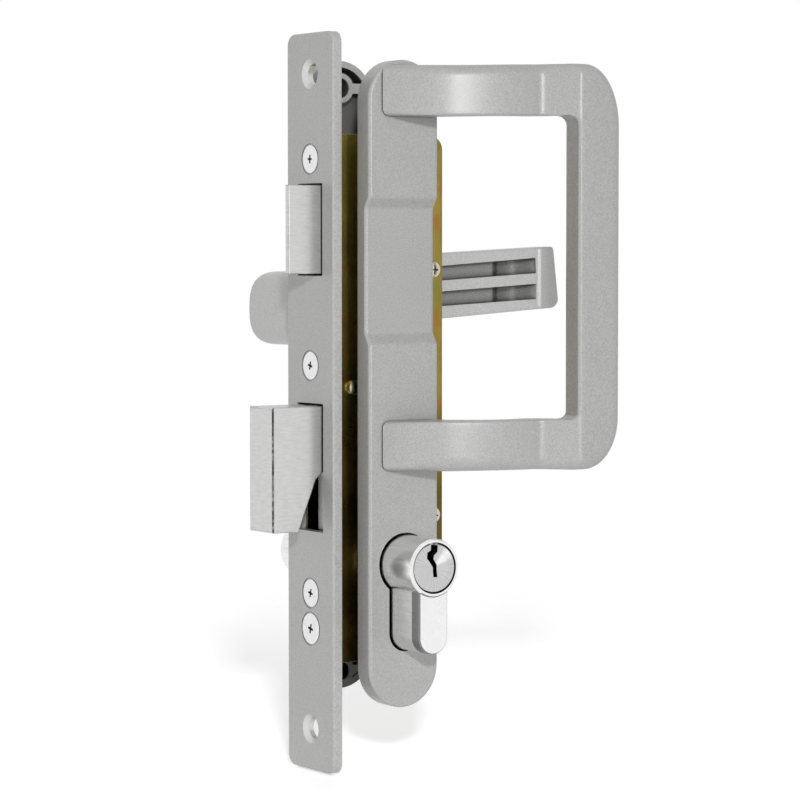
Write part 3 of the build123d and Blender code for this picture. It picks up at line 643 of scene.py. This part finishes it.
zincSet = {     # in metres; olive and rose are real patches, the front and rear keys place painted light and shade
    "lines": {"Stretch": (900, 900, 60), "Depth": 0.12, "Roughness": 0.3},
    "bump": 0.06,
    "straw": (0.48, 0.33, 0.075, 1),
    "olive": (0.35, 0.31, 0.08, 1),
    "oliveScale": 55.0,
    "oliveSpan": (0.42, 0.62),
    "rose": (0.48, 0.21, 0.07, 1),
    "roseScale": 140.0,
    "roseSpan": (0.55, 0.72),
    "roseMost": 0.8,
    "frontEnds": (0.008, 0.012),
    "frontLightGain": (1.1, 2.6),      # low down, and high up
    "frontHeights": (-0.015, 0.035),
    "rearShadeHeights": (-0.026, 0.0),
    "rearShadeGain": 0.3,
    "rearEnds": (0.028, 0.032),
    "crease": {"Reach": 16 * mm, "Shut": 0.24, "Open": 0.5, "Darkest": 0.07},
}


def passivatedFinish(name):
    # yellow zinc: straw with patches that lean to olive and to red
    material, tree, shader = newMaterial(name)
    place = objectPlace(tree)
    lines = fromGroup(tree, brushGroup, **zincSet["lines"])
    patches = noise(tree, place, zincSet["oliveScale"], detail=4.0)
    patches = remap(tree, patches, *zincSet["oliveSpan"], 0.0, 1.0)
    spots = noise(tree, place, zincSet["roseScale"], detail=3.0)
    spots = remap(tree, spots, *zincSet["roseSpan"], 0.0, zincSet["roseMost"])
    colour = mixColour(tree, patches, zincSet["straw"], zincSet["olive"])
    colour = toned(tree, mixColour(tree, spots, colour, zincSet["rose"]), lines["Tone"])
    # painted light: lighter towards the front edge, most up high; painted shade: darker low down at the
    # rear, and in creases
    apart = axesOf(tree, place)
    high = remap(tree, apart["Z"], *zincSet["frontHeights"], *zincSet["frontLightGain"])
    front = remap(tree, apart["X"], *zincSet["frontEnds"], high, 1.0)
    low = remap(tree, apart["Z"], *zincSet["rearShadeHeights"], zincSet["rearShadeGain"], 1.0)
    rear = remap(tree, apart["X"], *zincSet["rearEnds"], 1.0, low)
    colour = toned(tree, creaseShaded(tree, colour, **zincSet["crease"]), times(tree, front, rear))
    feed(tree, shader, {
        "Base Color": colour, "Roughness": lines["Roughness"], "Metallic": 1.0,
        "Normal": bumped(tree, lines["Height"], zincSet["bump"], platedSet["bumpDepth"])})
    return material


mouldedSet = {
    "scale": 1500.0,
    "tones": (0.85, 1.15),
    "roughness": (0.45, 0.6),
    "bump": 0.1,
}


def mouldedFinish(name, colour):
    # plastic with the fine grain of its mould
    material, tree, shader = newMaterial(name)
    grain = noise(tree, objectPlace(tree), mouldedSet["scale"])
    feed(tree, shader, {
        "Base Color": toned(tree, colour, remap(tree, grain, *noiseSpan, *mouldedSet["tones"])),
        "Roughness": remap(tree, grain, *noiseSpan, *mouldedSet["roughness"]),
        "Normal": bumped(tree, grain, mouldedSet["bump"], platedSet["bumpDepth"])})
    return material


# the nickel's dark edge colour is a painted reflection
nickelLook = {"colour": (0.61, 0.61, 0.605, 1), "roughness": 0.32, "stretch": (300, 300, 1600),
              "depth": 0.1, "darkEdgeReflection": grey(0.06)}
plugLook = {"colour": (0.66, 0.66, 0.655, 1), "roughness": 0.2, "stretch": (500, 500, 60), "depth": 0.12}

finishes = {
    "satin_paint": paintedFinish("satinPaint", (0.4, 0.4, 0.396, 1)),
    "satin_nickel": platedFinish("satinNickel", **nickelLook),
    "bright_zinc": platedFinish("brightZinc", (0.78, 0.78, 0.78, 1), 0.2, (700, 700, 700), 0.06),
    "yellow_zinc": passivatedFinish("yellowZinc"),
    "plain_steel": platedFinish("plainSteel", (0.42, 0.42, 0.41, 1), 0.34, (500, 1200, 500), 0.12),
    "spring_steel": platedFinish("springSteel", (0.3, 0.3, 0.31, 1), 0.28, (800, 800, 800), 0.08),
    "cylinder_nickel": platedFinish(
        "cylinderNickel", (0.82, 0.82, 0.815, 1), 0.26, (1500, 60, 1500), 0.1, facedWithReflections=True),
    "nylon": mouldedFinish("nylon", (0.02, 0.02, 0.02, 1)),
}
ownFinishes = {     # pieces whose finish differs a little from the rest of their slot
    "cover_screws": platedFinish("darkZinc", (0.6, 0.57, 0.48, 1), 0.22, (700, 700, 700), 0.06),
    "outside_plug": platedFinish("plugNickel", **plugLook, rays=("outside_plug", 0.75)),
    "inside_plug": platedFinish("plugNickelInside", **plugLook, rays=("inside_plug", 2.4)),
    # the lever's paint is lighter than the plates' as painted light, and its grooves get deep painted shade
    "inside_lever": paintedFinish(
        "leverPaint", (0.5, 0.5, 0.495, 1), Reach=4.8 * mm, Shut=0.5, Open=0.93, Darkest=0.1),
    "faceplate": paintedFinish("faceplatePaint", (0.43, 0.43, 0.425, 1), seats=True),
    "deadbolt": platedFinish("boltNickel", **nickelLook, lineOn="deadbolt"),
}
for plate in ("outside_plate", "inside_plate"):
    ownFinishes[plate] = paintedFinish(plate + "Paint", (0.395, 0.395, 0.39, 1), hollowOf=plate)
print("stage: finishes are made:", len(finishes) + len(ownFinishes))


# CAD nodes: most keep their mesh, whose normals are exact, and only get their finish

def finishOf(node):
    return ownFinishes.get(node, finishes[slotOf[node]])


for node, piece in cadNodes.items():
    piece.data.materials.clear()
    piece.data.materials.append(finishOf(node))
print("stage: CAD nodes with a finish:", len(cadNodes))


mergeSet = {
    "within": 0.002 * mm,       # vertices of a CAD mesh that lie this close are one
    "flat": 0.3,                # and faces are one where they meet at fewer degrees than this
}


def mergedCopy(node, name):
    mesh = cadNodes[node].data.copy()
    work = bmesh.new()
    work.from_mesh(mesh)
    bmesh.ops.remove_doubles(work, verts=work.verts, dist=mergeSet["within"])
    flat = math.radians(mergeSet["flat"])
    bmesh.ops.dissolve_limit(work, angle_limit=flat, verts=work.verts, edges=work.edges)
    work.to_mesh(mesh)
    work.free()
    return newPiece(name, mesh)


def bakeModifiers(piece):
    graph = bpy.context.evaluated_depsgraph_get()
    baked = bpy.data.meshes.new_from_object(piece.evaluated_get(graph))
    piece.modifiers.clear()
    piece.data = baked


def shadeByAngle(piece, degrees):
    for polygon in piece.data.polygons:
        polygon.use_smooth = True
    piece.data.set_sharp_from_angle(angle=math.radians(degrees))


def standFor(piece, node):
    # the piece takes the finish, slot and body of the CAD node that it replaces
    if not piece.data.materials:
        piece.data.materials.append(finishOf(node))
    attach(piece, bodyOf[node])
    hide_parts(node)


# softened copies, where a sharp CAD edge catches the light

softSet = {     # widths in millimetres
    "widths": {"faceplate": 0.28, "case_body": 0.3, "case_cover": 0.15, "inside_lever": 0.35},
    "segments": 3,
    "bevelFrom": 32,        # degrees between two faces
    "sharpFrom": 40,
}


def softenNode(node, width):
    piece = mergedCopy(node, node + "_soft")
    bevel = piece.modifiers.new("roundedEdges", "BEVEL")
    bevel.width = width * mm
    bevel.segments = softSet["segments"]
    bevel.limit_method = "ANGLE"
    bevel.angle_limit = math.radians(softSet["bevelFrom"])
    bevel.use_clamp_overlap = True
    weighted = piece.modifiers.new("flatFaces", "WEIGHTED_NORMAL")
    weighted.keep_sharp = True
    shadeByAngle(piece, softSet["sharpFrom"])
    bakeModifiers(piece)
    standFor(piece, node)


for node, width in softSet["widths"].items():
    softenNode(node, width)
print("stage: softened CAD nodes:", len(softSet["widths"]))


def skinOver(name, rings):
    # closed skin over rings of points in millimetres, all with the same number of points
    work = bmesh.new()
    loops = [[work.verts.new(point * mm) for point in ring] for ring in rings]
    for near, far in zip(loops, loops[1:]):
        for index in range(len(near)):
            after = (index + 1) % len(near)
            work.faces.new((near[index], near[after], far[after], far[index]))
    work.faces.new(loops[0])
    work.faces.new(loops[-1])
    bmesh.ops.recalc_face_normals(work, faces=work.faces)
    mesh = bpy.data.meshes.new(name)
    work.to_mesh(mesh)
    work.free()
    return newPiece(name, mesh)


# the pull handle is skinned over rounded sections that follow the arms, the corners and the grip

handleSet = {       # millimetres
    "top": 98.0,
    "bottom": -19.3,
    "armHeight": 14.6,
    "right": 76.9,
    "gripWidth": 15.9,
    "gripFront": -45.995,
    "gripBack": -39.5,
    "seam": 0.4,                # gap to the plate, left dark
    "seamInset": 1.2,
    "bend": 58.9,               # x where the arm starts to turn into the grip
    "cornerWide": 12.0,
    "cornerHigh": (17.0, 15.0),     # upper and lower corner
    "cornerRun": 14.0,              # share of the turn's sections that the outer arc gets, as a length
    # x and y where the arcs of the arm's front and back meet, from the grip to the root
    "frontStops": (
        (62.2, -45.995), (60.6, -45.32), (54.5, -39.35), (51.5, -38.17), (26.3, -33.94), (8.8, None)),
    "backStops": ((59.3, -36.4), (55.5, -32.0), (48.0, -30.4), (37.0, -29.0), (27.6, None)),
    # x of a section's front and back: they slant at the root and stand square at the bend
    "sectionEnds": (
        (8.8, 27.6), (16.0, 29.5), (25.5, 33.0), (38.0, 40.5), (50.9, 50.0), (54.0, 54.5), (58.9, 58.9)),
    "radii": (3.4, 0.7, 1.3, 2.3),      # front outer, front inner, back inner, back outer
    "rise": {"edge": (1.1, -0.3), "web": (0.6, 0.0)},   # how far the upper and lower arm flare at the grip
    "riseEnds": (20.0, 62.0),
    "rootRadius": 2.2,
    "rootLength": 8.0,
    "roundShare": 0.96,         # of a section's depth, the most that two radii take
    "armSteps": 10,
    "cornerSteps": 30,
    "sharpFrom": 50,
}


def arcChain(start, heading, stops, steps=24):
    # arcs through the stops, each tangent to the one before
    points, here, heading = [Vector(start)], Vector(start), Vector(heading).normalized()
    for stop in stops:
        chord = Vector(stop) - here
        way = chord.normalized()
        turn = 2 * math.atan2(heading.x * way.y - heading.y * way.x, heading.dot(way))
        side = Vector((-heading.y, heading.x))
        for step in range(1, steps + 1):
            part = turn * step / steps
            if abs(turn) < 1e-5:
                points.append(here + chord * step / steps)
            else:
                radius = chord.length / (2 * math.sin(turn / 2))
                ahead, aside = math.sin(part), 1 - math.cos(part)
                points.append(here + heading * radius * ahead + side * radius * aside)
        here, heading = Vector(stop), 2 * heading.dot(way) * way - heading
    return points


def depthAlong(points):
    # y of the curve at a given x; beyond its ends it stays level
    points = sorted(points, key=lambda point: point.x)

    def depthAt(x):
        if x <= points[0].x:
            return points[0].y
        for near, far in zip(points, points[1:]):
            if x <= far.x:
                return near.y + (far.y - near.y) * (x - near.x) / max(far.x - near.x, 1e-6)
        return points[-1].y
    return depthAt


def roundedSection(corners, radii, frontAt, backAt, cornerSteps=8, sideSteps=8):
    # corners in order front outer, front inner, back inner, back outer; a thin section gets smaller radii
    across = (corners[0] - corners[1]).length
    deep = ((corners[0] - corners[3]).length + (corners[1] - corners[2]).length) / 2
    room = handleSet["roundShare"] * deep
    fit = min(1.0, room / (radii[0] + radii[3]), room / (radii[1] + radii[2]))
    places = []
    for index, (a, b) in enumerate(((1, 1), (0, 1), (0, 0), (1, 0))):
        radius = radii[index] * fit
        middle = (across - radius if a else radius, deep - radius if b else radius)
        for step in range(cornerSteps + 1):
            turn = math.pi / 2 * (index + step / cornerSteps)
            places.append((middle[0] + radius * math.cos(turn), middle[1] + radius * math.sin(turn)))
    ring = []
    for index, (a, b) in enumerate(places):
        after = places[(index + 1) % len(places)]
        inner = range(sideSteps) if index % (cornerSteps + 1) == cornerSteps else (0,)
        for step in inner:
            part = step / sideSteps
            u, v = (a + (after[0] - a) * part) / across, (b + (after[1] - b) * part) / deep
            front = corners[1].lerp(corners[0], u)
            back = corners[2].lerp(corners[3], u)
            front.y, back.y = frontAt(front.x), backAt(back.x)
            ring.append(back.lerp(front, v))
    return ring


def flare(x, upper, part):
    low, high = handleSet["riseEnds"]
    share = min(1.0, max(0.0, (x - low) / (high - low)))
    return handleSet["rise"][part][0 if upper else 1] * share * share * (3 - 2 * share)


def handleSections():
    root = boxOf("outside_plate")[0].y / mm - handleSet["seam"]
    turnAt = handleSet["right"] - handleSet["cornerWide"]
    chains = []
    for side in ("front", "back"):
        start = (turnAt, handleSet["grip" + side.capitalize()])
        stops = [(x, root if y is None else y) for x, y in handleSet[side + "Stops"]]
        chains.append(depthAlong(arcChain(start, (-1, 0), stops)))
    frontAt, backAt = chains

    def sectionAt(places, radii):
        # places hold x and z of the front outer, front inner, back inner and back outer corner
        depths = (frontAt, frontAt, backAt, backAt)
        corners = [Vector((x, depthAt(x), z)) for (x, z), depthAt in zip(places, depths)]
        return roundedSection(corners, radii, frontAt, backAt)

    def armPart(edge, web):
        sections, upper, ends = [], edge > web, handleSet["sectionEnds"]
        for near, far in zip(ends, ends[1:]):
            for step in range(handleSet["armSteps"]):
                x, xBack = [a + (b - a) * step / handleSet["armSteps"] for a, b in zip(near, far)]
                grown = min(1.0, (x - ends[0][0]) / handleSet["rootLength"])
                root = handleSet["rootRadius"]
                radii = [root + (radius - root) * grown for radius in handleSet["radii"]]
                outer, outerBack = [(place, edge + flare(place, upper, "edge")) for place in (x, xBack)]
                inner, innerBack = [(place, web + flare(place, upper, "web")) for place in (x, xBack)]
                sections.append(sectionAt((outer, inner, innerBack, outerBack), radii))
        return sections

    def cornerPart(edge, web, high):
        sections, upper, way = [], edge > web, 1 if edge > web else -1
        bend, wide = handleSet["bend"], handleSet["cornerWide"]
        straight = turnAt - bend
        flat = straight / (straight + handleSet["cornerRun"])
        webRadius = handleSet["right"] - handleSet["gripWidth"] - bend
        for step in range(handleSet["cornerSteps"] + 1):
            run = step / handleSet["cornerSteps"]
            turn = math.pi / 2 * max(0.0, run - flat) / (1 - flat)
            x = bend + min(straight, straight * run / flat) + wide * math.sin(turn)
            z = edge - way * high * (1 - math.cos(turn))
            outer = (x, z + flare(x, upper, "edge") * max(0.0, 1 - abs(z - edge) / high))
            turn = math.pi / 2 * run
            x = bend + webRadius * math.sin(turn)
            z = web - way * webRadius * (1 - math.cos(turn))
            inner = (x, z + flare(x, upper, "web") * math.cos(turn) ** 2)
            sections.append(sectionAt((outer, inner, inner, outer), handleSet["radii"]))
        return sections

    halves = []
    for edge, way, high in zip((handleSet["top"], handleSet["bottom"]), (-1, 1), handleSet["cornerHigh"]):
        web = edge + way * handleSet["armHeight"]
        halves.append(armPart(edge, web) + cornerPart(edge, web, high))
    return halves[0] + halves[1][::-1]


def insetRing(ring, inset, y):
    middle = sum(ring, Vector()) / len(ring)
    made = []
    for point in ring:
        way = middle - point
        way.y = 0
        inward = point + way.normalized() * inset
        made.append(Vector((inward.x, y, inward.z)))
    return made


def makeHandle():
    sections = handleSections()
    plateFace = boxOf("outside_plate")[0].y / mm
    seams = []
    for ring in (sections[0], sections[-1]):
        seams.append([insetRing(ring, handleSet["seamInset"], y) for y in (plateFace, ring[0].y)])
    sections = seams[0] + sections + seams[1][::-1]
    piece = skinOver("pull_handle_skin", sections)
    shadeByAngle(piece, handleSet["sharpFrom"])
    standFor(piece, "pull_handle")
    print("stage: the handle is skinned over", len(sections), "sections")


makeHandle()


# the lever's hub is a rounded square casting, round only where it turns in the bush

hubSet = {
    "half": 11.3,        # millimetres
    "power": 2.9,        # 2 is a circle, more is squarer
    "start": 21.5,
    "end": 51.49,
    "round": 4.0,
    "flushFrom": 0.6,    # towards the blade the end isn't rounded
    "around": 96,
    "roundSteps": 8,
    "sharpFrom": 40,
}


def hubRing(middle, y, share):
    # share is how far the rounded end has drawn in
    ring, power = [], hubSet["power"]
    for step in range(hubSet["around"]):
        turn = 2 * math.pi * step / hubSet["around"]
        c, s = math.cos(turn), math.sin(turn)
        rounded = min(1.0, max(0.0, (hubSet["flushFrom"] - c) / (2 * hubSet["flushFrom"])))
        square = (abs(c) ** power + abs(s) ** power) ** (1 / power)
        reach = hubSet["half"] * (1 - (1 - share) * rounded) / square
        ring.append(Vector((middle.x + reach * c, y, middle.z + reach * s)))
    return ring


def makeHubSkin():
    low, high = boxOf("spindle")
    middle = (low + high) / 2 / mm
    rings = [hubRing(middle, y, 1.0) for y in (hubSet["start"], hubSet["end"] - hubSet["round"])]
    for step in range(1, hubSet["roundSteps"] + 1):
        turn = math.pi / 2 * step / hubSet["roundSteps"]
        inset = hubSet["round"] * (1 - math.cos(turn))
        y = hubSet["end"] - hubSet["round"] * (1 - math.sin(turn))
        rings.append(hubRing(middle, y, 1 - inset / hubSet["half"]))
    skin = skinOver("lever_hub_skin", rings)
    skin.data.materials.append(finishOf("inside_lever"))
    shadeByAngle(skin, hubSet["sharpFrom"])
    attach(skin, bodyOf["inside_lever"])


makeHubSkin()
print("stage: the lever's hub has its skin")


# what repeats comes from Geometry Nodes trees with named inputs

def newTree(name, sizes, **others):
    tree = bpy.data.node_groups.new(name, "GeometryNodeTree")
    kinds = {"Points": "Geometry", **{label: "Float" for label in sizes}, "Outward": "Vector", **others,
             "Finish": "Material"}
    for label, kind in kinds.items():
        tree.interface.new_socket(label, in_out="INPUT", socket_type="NodeSocket" + kind)
    tree.interface.new_socket("Pieces", in_out="OUTPUT", socket_type="NodeSocketGeometry")
    return tree, tree.nodes.new("NodeGroupInput").outputs, tree.nodes.new("NodeGroupOutput").inputs


def geo(tree, kind, sockets=None, **settings):
    return addNode(tree, "GeometryNode" + kind, sockets, **settings).outputs[0]


def vector(tree, x=0.0, y=0.0, z=0.0):
    return addNode(tree, "ShaderNodeCombineXYZ", {"X": x, "Y": y, "Z": z}).outputs[0]


def moved(tree, shape, **changes):
    # changes are Translation, Rotation and Scale
    return geo(tree, "Transform", {"Geometry": shape, **changes})


def raised(tree, shape, height):
    return moved(tree, shape, Translation=vector(tree, z=height))


def roundRod(tree, spine, radius, sides):
    ring = geo(tree, "CurvePrimitiveCircle", {"Resolution": sides, "Radius": radius})
    return geo(tree, "CurveToMesh", {"Curve": spine, "Profile Curve": ring, "Fill Caps": True})


def helixOf(tree, steps, turns, radius, height):
    return geo(tree, "CurveSpiral", {
        "Resolution": steps, "Rotations": turns, "Start Radius": radius, "End Radius": radius,
        "Height": height})


def onPoints(tree, given, shape):
    turn = addNode(tree, "FunctionNodeEulerToRotation", {0: given["Outward"]}).outputs[0]
    return geo(tree, "InstanceOnPoints", {"Points": given["Points"], "Instance": shape, "Rotation": turn})


def dress(tree, given, made, placed):
    whole = geo(tree, "RealizeInstances", {0: placed})
    shown = geo(tree, "SetMaterial", {"Geometry": whole, "Material": given["Finish"]})
    tree.links.new(shown, made[0])


screwShape = {      # what all screws share; gains and shares are of the sizes they follow
    "headSides": 48,
    "domeFrom": 0.99,       # share of the head's depth above which it is domed
    "pitSides": 8,
    "pitGain": 1.1,
    "pitSunk": 0.62,
    "shankSides": 24,
    "tipGain": 0.8,
    "tipEnd": 0.5,
    "threadSteps": 20,
    "threadSides": 3,
    "spin": math.pi / 2,
}


def screwHead(tree, given):
    # countersunk or domed head, less a cross recess with a pointed pit
    cone = geo(tree, "MeshCone", {
        "Vertices": screwShape["headSides"], "Side Segments": 2, "Fill Segments": 8,
        "Radius Top": given["Head Radius"], "Radius Bottom": given["Foot Radius"],
        "Depth": given["Head Depth"]}, fill_type="TRIANGLE_FAN")
    apart = axesOf(tree, geo(tree, "InputPosition"))
    across = plus(tree, times(tree, apart["X"], apart["X"]), times(tree, apart["Y"], apart["Y"]))
    share = calc(tree, "DIVIDE", across, times(tree, given["Head Radius"], given["Head Radius"]))
    onTop = calc(tree, "GREATER_THAN", apart["Z"], times(tree, given["Head Depth"], screwShape["domeFrom"]))
    rise = times(tree, minus(tree, 1.0, share), given["Dome"], onTop)
    head = geo(tree, "SetPosition", {"Geometry": cone, "Offset": vector(tree, z=rise)})
    deep = times(tree, plus(tree, given["Slot Depth"], given["Dome"]), 2.0)
    top = plus(tree, given["Head Depth"], given["Dome"])
    barSize = vector(tree, given["Slot Length"], given["Slot Width"], deep)
    first = raised(tree, geo(tree, "MeshCube", {"Size": barSize}), top)
    second = moved(tree, first, Rotation=(0, 0, math.pi / 2))
    pit = geo(tree, "MeshCone", {
        "Vertices": screwShape["pitSides"], "Radius Bottom": 0.0, "Depth": deep,
        "Radius Top": times(tree, given["Slot Width"], screwShape["pitGain"])})
    pitAt = vector(tree, z=minus(tree, top, times(tree, deep, screwShape["pitSunk"])))
    pit = moved(tree, pit, Translation=pitAt, Rotation=(0, 0, math.pi / 8))
    cut = addNode(tree, "GeometryNodeMeshBoolean", {"Mesh 1": head}, operation="DIFFERENCE", solver="EXACT")
    for tool in (first, second, pit):
        tree.links.new(tool, cut.inputs["Mesh 2"])
    return cut.outputs[0]


def screwShank(tree, given):
    # core, tapered tip and raised thread, hanging below the head
    core = minus(tree, given["Shank Radius"], given["Thread Depth"])
    bare = minus(tree, given["Length"], times(tree, given["Shank Radius"], screwShape["tipGain"]))
    rod = geo(tree, "MeshCylinder", {
        "Vertices": screwShape["shankSides"], "Radius": core, "Depth": bare}, fill_type="TRIANGLE_FAN")
    tip = geo(tree, "MeshCone", {
        "Vertices": screwShape["shankSides"], "Radius Top": core,
        "Radius Bottom": times(tree, core, screwShape["tipEnd"]),
        "Depth": minus(tree, given["Length"], bare)}, fill_type="TRIANGLE_FAN")
    run = minus(tree, bare, given["Thread Pitch"])
    turns = calc(tree, "DIVIDE", run, given["Thread Pitch"])
    helix = helixOf(tree, screwShape["threadSteps"], turns, core, run)
    helix = raised(tree, helix, times(tree, bare, -1.0))
    thread = roundRod(tree, helix, given["Thread Depth"], screwShape["threadSides"])
    rod = raised(tree, rod, times(tree, bare, -0.5))
    tip = raised(tree, tip, times(tree, given["Length"], -1.0))
    return rod, tip, thread


def buildScrewTree():
    # cross-head screw on each point, turned a little differently on each
    tree, given, made = newTree("crossHeadScrews", (
        "Head Radius", "Foot Radius", "Head Depth", "Dome", "Shank Radius", "Length", "Slot Length",
        "Slot Width", "Slot Depth", "Thread Pitch", "Thread Depth"), Seed="Int")
    whole = tree.nodes.new("GeometryNodeJoinGeometry")
    for shape in (screwHead(tree, given), *screwShank(tree, given)):
        tree.links.new(shape, whole.inputs[0])
    placed = onPoints(tree, given, raised(tree, whole.outputs[0], times(tree, given["Head Depth"], -1.0)))
    spin = addNode(
        tree, "FunctionNodeRandomValue", {3: screwShape["spin"], "Seed": given["Seed"]}, data_type="FLOAT")
    spun = geo(tree, "RotateInstances", {
        "Instances": placed, "Rotation": vector(tree, z=spin.outputs[1]), "Local Space": True})
    dress(tree, given, made, spun)
    return tree


wireShape = {"steps": 28, "sides": 10}      # steps are for each turn


def buildSpringTree():
    # compression spring on each point, its wire round
    tree, given, made = newTree("coilSprings", ("Coil Radius", "Wire Radius", "Length", "Turns"))
    run = minus(tree, given["Length"], times(tree, given["Wire Radius"], 2.0))
    helix = helixOf(tree, wireShape["steps"], given["Turns"], given["Coil Radius"], run)
    helix = raised(tree, helix, given["Wire Radius"])
    wire = roundRod(tree, helix, given["Wire Radius"], wireShape["sides"])
    dress(tree, given, made, onPoints(tree, given, wire))
    return tree


def solidBoxes(node):
    # lowest and highest corner of each separate solid in a CAD node
    work = bmesh.new()
    work.from_mesh(cadNodes[node].data)
    bmesh.ops.remove_doubles(work, verts=work.verts, dist=mergeSet["within"])
    boxes, left = [], set(work.verts)
    while left:
        island, queue = [], [left.pop()]
        while queue:
            vert = queue.pop()
            island.append(vert.co.copy())
            near = {edge.other_vert(vert) for edge in vert.link_edges} & left
            left -= near
            queue += near
        corners = [Vector(choose(co[axis] for co in island) for axis in range(3)) for choose in (min, max)]
        boxes.append(corners)
    work.free()
    return sorted(boxes, key=lambda box: box[0].z)


grownSharpFrom = 35     # degrees between two faces


def growOnPoints(name, node, tree, points, values):
    mesh = bpy.data.meshes.new(name)
    mesh.from_pydata(points, [], [])
    piece = newPiece(name, mesh)
    modifier = piece.modifiers.new("grown", "NODES")
    modifier.node_group = tree
    idOf = {item.name: item.identifier for item in tree.interface.items_tree if item.in_out == "INPUT"}
    for label, value in {**values, "Finish": finishOf(node)}.items():
        modifier[idOf[label]] = value
    bakeModifiers(piece)
    shadeByAngle(piece, grownSharpFrom)
    standFor(piece, node)
    print("stage:", name, "has", len(piece.data.polygons), "faces")
    return piece


# which way a screw's head looks, and the turn that takes it there from +Z
headWays = {
    "edge": {"way": Vector((-1, 0, 0)), "turn": (0, -math.pi / 2, 0)},
    "outside": {"way": Vector((0, -1, 0)), "turn": (math.pi / 2, 0, 0)},
    "inside": {"way": Vector((0, 1, 0)), "turn": (-math.pi / 2, 0, 0)},
}

# millimetres; slot is length, width and depth, thread is pitch and depth, pan is the height of a head
# that stands proud, and the rest comes from the CAD node's box
screwSet = {
    "faceplate_screws": {
        "head": "edge", "shank": 2.0, "dome": 0.12, "slot": (2.5, 0.7, 0.6), "thread": (0.8, 0.16)},
    "cylinder_fixing_screw": {
        "head": "edge", "shank": 2.4, "dome": 0.12, "slot": (2.8, 0.75, 0.7), "thread": (0.9, 0.18)},
    "cover_screws": {
        "head": "outside", "shank": 1.5, "dome": 0.55, "slot": (2.6, 0.5, 0.7), "thread": (0.6, 0.12),
        "pan": 1.9},
    "handle_screws": {
        "head": "inside", "shank": 2.0, "dome": 0.4, "slot": (3.6, 0.8, 0.8), "thread": (0.8, 0.16),
        "pan": 1.6},
}
panTop = 0.9         # a pan head's top as a share of its foot
seatPlay = 0.25      # how much smaller a countersunk head is than its seat
screwTree = buildScrewTree()


def growScrews(node):
    screw = screwSet[node]
    labels = ("Shank Radius", "Dome", "Slot Length", "Slot Width", "Slot Depth", "Thread Pitch",
              "Thread Depth")
    sizes = (screw["shank"], screw["dome"], *screw["slot"], *screw["thread"])
    values = {label: value * mm for label, value in zip(labels, sizes)}
    way = headWays[screw["head"]]["way"]
    along = 0 if way.x else 1
    points = []
    for low, high in solidBoxes(node):
        middle = (low + high) / 2
        middle[along] = high[along] if way[along] > 0 else low[along]
        points.append(middle - way * values["Dome"])
        headRadius, length = (high.z - low.z) / 2, high[along] - low[along]
    if "pan" in screw:
        values["Head Depth"] = screw["pan"] * mm - values["Dome"]
        values["Head Radius"], values["Foot Radius"] = headRadius * panTop, headRadius
    else:
        headRadius -= seatPlay * mm
        values["Head Depth"] = headRadius - values["Shank Radius"]
        values["Head Radius"], values["Foot Radius"] = headRadius, values["Shank Radius"]
    values["Length"] = length - values["Head Depth"] - values["Dome"]
    values["Outward"] = headWays[screw["head"]]["turn"]
    growOnPoints(node + "_cut", node, screwTree, points, values)


springSet = {       # wire and travel in millimetres; held is the end that stays, 0 for low and 1 for high
    "latch_spring": {"Wire Radius": 0.4, "Turns": 7.0, "joint": "latch_slide", "held": 1, "travel": 11.4},
    "follower_spring": {"Wire Radius": 0.35, "Turns": 6.0, "joint": "lever_turn", "held": 0, "travel": 8.3},
}
springTree = buildSpringTree()


def growSpring(node):
    low, high = boxOf(node)
    middle = (low + high) / 2
    wire = springSet[node]["Wire Radius"] * mm
    values = {"Wire Radius": wire, "Turns": springSet[node]["Turns"], "Length": high.x - low.x,
              "Coil Radius": (high.y - low.y) / 2 - wire, "Outward": (0, math.pi / 2, 0)}
    piece = growOnPoints(node + "_wound", node, springTree, [(low.x, middle.y, middle.z)], values)
    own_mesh(piece)


for node in screwSet:
    growScrews(node)
for node in springSet:
    growSpring(node)
